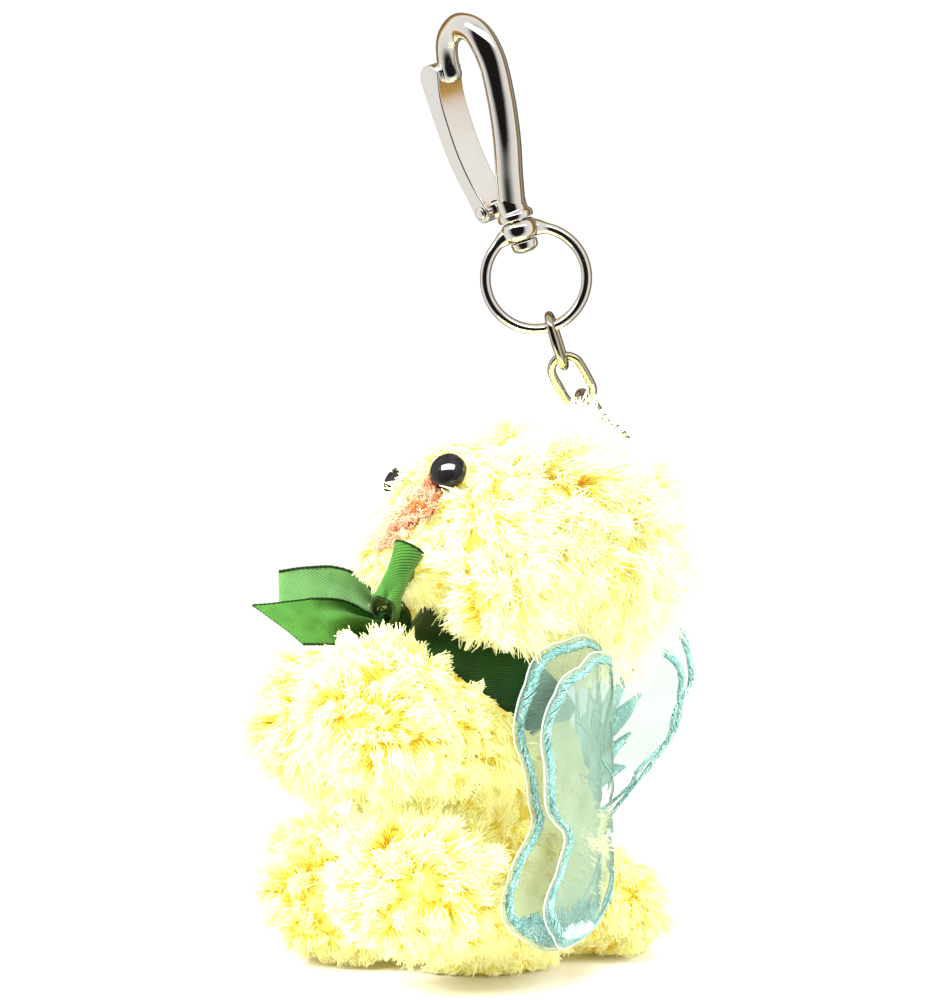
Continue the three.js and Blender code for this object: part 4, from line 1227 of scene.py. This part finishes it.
for name, (body, gap, long, count, hang, seed) in COATS.items():
    roots, normals = roots_of(name, gap, seed)
    random = np.random.default_rng(seed + 100)
    flow = drift(roots, 9.0, seed)
    fine = drift(roots, 3.0, seed + 31)
    aims = unit(normals * 0.8 + 1.05 * flow + 0.9 * fine - UP * hang)
    # no lock leans into the cloth
    sunk = np.minimum((aims * normals).sum(1) - 0.28, 0)
    aims = unit(aims - normals * sunk[:, None])
    lengths = long * (1 + 0.45 * drift(roots, 6.0, seed + 57)[:, 0] + random.normal(0, 0.1, len(roots)))
    if name == "head":
        # the pile is short on the face and round the eyes, and part of it shades the tape loop
        front = smooth(4, -4, roots[:, 1])
        lengths *= lerp(1.0, FACE_LENGTH, front)
        for short, (seat, outward) in zip((0.55, 1.35), EYES.values()):
            lengths *= lerp(short, 1.0, smooth(4, 9, np.linalg.norm(roots - seat - outward * 2, axis=1)))
        lengths *= lerp(0.2, 1.0, smooth(3.5, 9, near_line(roots, HANG_LINE)))
        # the pile is parted on the left of the last link, so that the link lies open
        gap_side = link_lines[3].mean(0) - roots
        gap_side -= PARTING * (gap_side @ PARTING)[:, None]
        lengths *= lerp(0.14, 1.0, smooth(5, 13, np.linalg.norm(gap_side, axis=1)))
        # longest over the top and the back of the head
        lengths *= lerp(1.0, 1.3, smooth(0.2, 0.8, normals[:, 2]) * (1 - front))
        lengths *= lerp(1.0, 1.15, smooth(0.2, 0.8, normals[:, 1]))
    if not name.startswith(HEAD_PARTS):
        # short against the wings, under the limbs and against the collar
        lengths *= lerp(0.5, 1.0, smooth(1.5, 5, near_line(roots, WING_POINTS)))
        lengths *= lerp(0.95 if name.startswith("arm") else 0.55, 1.0, smooth(-0.7, 0.0, normals[:, 2]))
        lengths *= lerp(0.35, 1.0, smooth(0, 6, np.abs(((roots - COLLAR_C) @ TILT)[:, 2]) - RIBBON_WIDE / 2))
    bends = 0.6 * drift(roots, 4.0, seed + 77) - UP * 0.12
    pile = strand_set(roots - normals * LOCK_SINK, aims, np.maximum(lengths, SHORTEST_LOCK), bends, STRAND_R,
                      LOCK_SPREAD * gap, count, random)
    cloth = build(f"{name}_cloth", merge([grown_ball(s, seed) for s in SOLIDS[name]]), BACKING, body,
                  REPLACED.get(name, [name]))
    # each piece holds whole strands, and is small enough to export as it is
    per_strand = STRAND_RINGS * STRAND_SIDES
    strands = len(pile[0]) // per_strand
    faces_each = len(pile[1]) // strands
    parts = -(-len(pile[1]) // PIECE_FACES)
    for part in range(parts):
        low, high = strands * part // parts, strands * (part + 1) // parts
        own = slice(low * per_strand, high * per_strand)
        faces = pile[1][low * faces_each:high * faces_each] - low * per_strand
        # the head's parts take the paler copy, with painted light; the rest take the deeper copy, with painted shade
        build(f"{name}_pile" + (f"_{part + 1}" if parts > 1 else ""), (pile[0][own], faces),
              HEAD_FUR_LIT if name.startswith(HEAD_PARTS) else BODY_FUR_SHADED, body, uv=pile[2][own])

# ---- the nose: a salmon fuzz band from between the eyes to the muzzle, with a knotted core ----
random = np.random.default_rng(61)
NOSE_ROOTS = 900
at = random.uniform(0, 1, NOSE_ROOTS)
aside = np.clip(random.normal(0, 1.7, NOSE_ROOTS), -3.8, 3.8) * (1 - 0.3 * np.abs(2 * at - 1))
nose_points = curve(NOSE_BAND, at)
nose_normals = unit(nose_points - lerp(FACE_C, MUZZLE[0].centre, 0.5))
nose_points = (nose_points + SIDEWAYS * aside[:, None] - nose_normals * (0.05 * aside ** 2 + 0.6)[:, None])
nose_aims = unit(nose_normals + SIDEWAYS * (0.16 * aside)[:, None] + 0.8 * drift(nose_points, 2.5, 3) - UP * 0.2)
fuzz = strand_set(nose_points, nose_aims, random.uniform(2.6, 4.0, NOSE_ROOTS), 0.5 * drift(nose_points, 2, 9), 0.13,
                  0.6, 8, random)
build("nose_pile", fuzz[:2], SALMON, "plush", uv=fuzz[2])
knots = []
for k, (side, up, big) in enumerate(((-0.9, 0.5, 0.95), (0.8, 0.5, 1.0), (0.0, -0.6, 0.9), (1.7, -0.2, 0.7))):
    turn = full_turn(48)
    lean = unit(FORWARD + SIDEWAYS * (0.5 + 0.4 * math.sin(k * 2.1)) + UP * 0.4 * math.cos(k * 1.7))
    a = unit(np.cross(lean, UP))
    b = np.cross(lean, a)
    line = (on_face(4.4, 16.4, 2.0) + SIDEWAYS * side + UP * up + big * circle(turn, a, b)
            + lean * (0.4 * np.sin(2 * turn + k))[:, None])
    knots.append(tube(line, 0.5, 10, loop=True))
build("nose_knot", merge(knots), KNOT_RED, "plush", ["nose"])

# ---- floor, light and camera ----
FLOOR_RADIUS = 0.34
floor_look = clouded("floor_sheet", 3, [(0.3, (0.68, 0.64, 0.58)), (0.7, (0.71, 0.68, 0.63))], Roughness=0.7,
                     Specular_IOR_Level=0.2)
turn = full_turn(96)
floor_mesh = bpy.data.meshes.new("floor")
floor_mesh.from_pydata([(FLOOR_RADIUS * math.cos(a), FLOOR_RADIUS * math.sin(a), 0) for a in turn], [],
                       [list(range(len(turn)))])
floor_mesh.materials.append(floor_look.material)
floor = bpy.data.objects.new("floor", floor_mesh)
floor.visible_glossy = False
bpy.context.scene.collection.objects.link(floor)
floor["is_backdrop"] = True

VIEW_R, VIEW_B = vec(0.469, 0.883, 0), vec(0.883, -0.469, 0)
TARGET = vec(0, 4, 98)


def lamp(name, right, toward, up, size, power):
    """A soft box, placed by its distance to the right of, towards and above the camera's target, in metres."""
    light = bpy.data.lights.new(name, "AREA")
    light.shape = "RECTANGLE"
    light.size, light.size_y = size
    light.energy = power
    target = Vector(place(TARGET))
    spot = target + Vector(VIEW_R) * right + Vector(VIEW_B) * toward + Vector((0, 0, up))
    thing = bpy.data.objects.new(name, light)
    thing.visible_glossy = False
    thing.location = spot
    thing.rotation_euler = (target - spot).to_track_quat("-Z", "Y").to_euler()
    bpy.context.scene.collection.objects.link(thing)
    return thing


# a long box overhead that only the bead eyes see: the bright band on them
beads = bpy.data.collections.new("beads")
for side_name in EYES:
    beads.objects.link(bpy.data.objects[f"eye_bead_{side_name}"])
eye_box = lamp("softbox_eyes", -0.12, 0.52, 0.5, (1.0, 0.42), 64)
eye_box.visible_glossy = True
eye_box.light_linking.receiver_collection = beads
lamp("softbox_left", -0.75, 0.45, 0.5, (0.5, 0.5), 30)
lamp("softbox_right", 0.8, 0.3, 0.35, (0.35, 0.7), 12)
lamp("softbox_top", 0.0, 0.05, 0.9, (0.7, 0.7), 36)
lamp("softbox_back", 0.25, -0.8, 0.45, (0.7, 0.5), 14)

# the room: plain white for the camera, soft white for diffuse light, and for mirrors a white tent with
# a dark opening near the camera, warm wood behind the object, and a bright strip above the opening
world = bpy.data.worlds.new("studio")
bpy.context.scene.world = world
world.use_nodes = True
tree = world.node_tree
tree.nodes.clear()
direction = new_node(tree, "TexCoord").outputs["Generated"]
opening = unit(VIEW_B - VIEW_R * 0.34 - vec(0, 0, 0.08))
facing = new_node(tree, "VectorMath", {"operation": "DOT_PRODUCT"}, i0=direction, i1=opening).outputs["Value"]
turned_to = new_node(tree, "MapRange", Value=facing, From_Min=-1.0).outputs[0]
tent = new_ramp(tree, turned_to, [
    (0.0, (0.08, 0.075, 0.07)), (0.12, (0.42, 0.39, 0.33)), (0.24, (0.16, 0.085, 0.015)), (0.38, (0.6, 0.36, 0.11)),
    (0.44, (1.0, 0.98, 0.95)), (0.76, (0.8, 0.79, 0.78)), (0.84, (0.36, 0.35, 0.34)), (0.89, (0.012, 0.01, 0.01))])
height = new_node(tree, "SeparateXYZ", i0=direction).outputs["Z"]
strip_shape = new_ramp(tree, height, [(0.36, (0, 0, 0)), (0.4, (1, 1, 1)), (0.66, (1, 1, 1)), (0.7, (0, 0, 0))])
strip_ends = new_ramp(tree, turned_to, [(0.7, (0, 0, 0)), (0.72, (1, 1, 1))])
strip_lit = new_node(tree, "Math", {"operation": "MULTIPLY"}, i0=strip_shape, i1=strip_ends)


def background(colour, strength):
    return new_node(tree, "Background", Color=colour, Strength=strength).outputs[0]


def mix(share, a, b):
    return new_node(tree, "MixShader", i0=share, i1=a, i2=b).outputs[0]


mirrored = mix(strip_lit.outputs[0], background(tent, 0.95), background((1, 1, 1, 1), 2.5))
soft = background((1, 0.99, 0.97, 1), 0.8)
backdrop = background((1, 1, 1, 1), 1.05)
ray = new_node(tree, "LightPath").outputs
shown = mix(ray["Is Camera Ray"], mix(ray["Is Glossy Ray"], soft, mirrored), backdrop)
new_node(tree, "OutputWorld", Surface=shown)

camera_data = bpy.data.cameras.new("camera")
camera = bpy.data.objects.new("camera", camera_data)
bpy.context.scene.collection.objects.link(camera)
CAMERA_DISTANCE, VIEW_HEIGHT, SENSOR = 480, 210, 36
camera_data.sensor_width = SENSOR
camera_data.lens = SENSOR * CAMERA_DISTANCE / VIEW_HEIGHT
camera_data.clip_start, camera_data.clip_end = 0.01, 20
camera.location = place(TARGET + VIEW_B * CAMERA_DISTANCE)
camera.rotation_euler = (-Vector(VIEW_B)).to_track_quat("-Z", "Y").to_euler()
bpy.context.scene.camera = camera
bpy.context.scene.view_settings.view_transform = "Standard"

low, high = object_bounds()
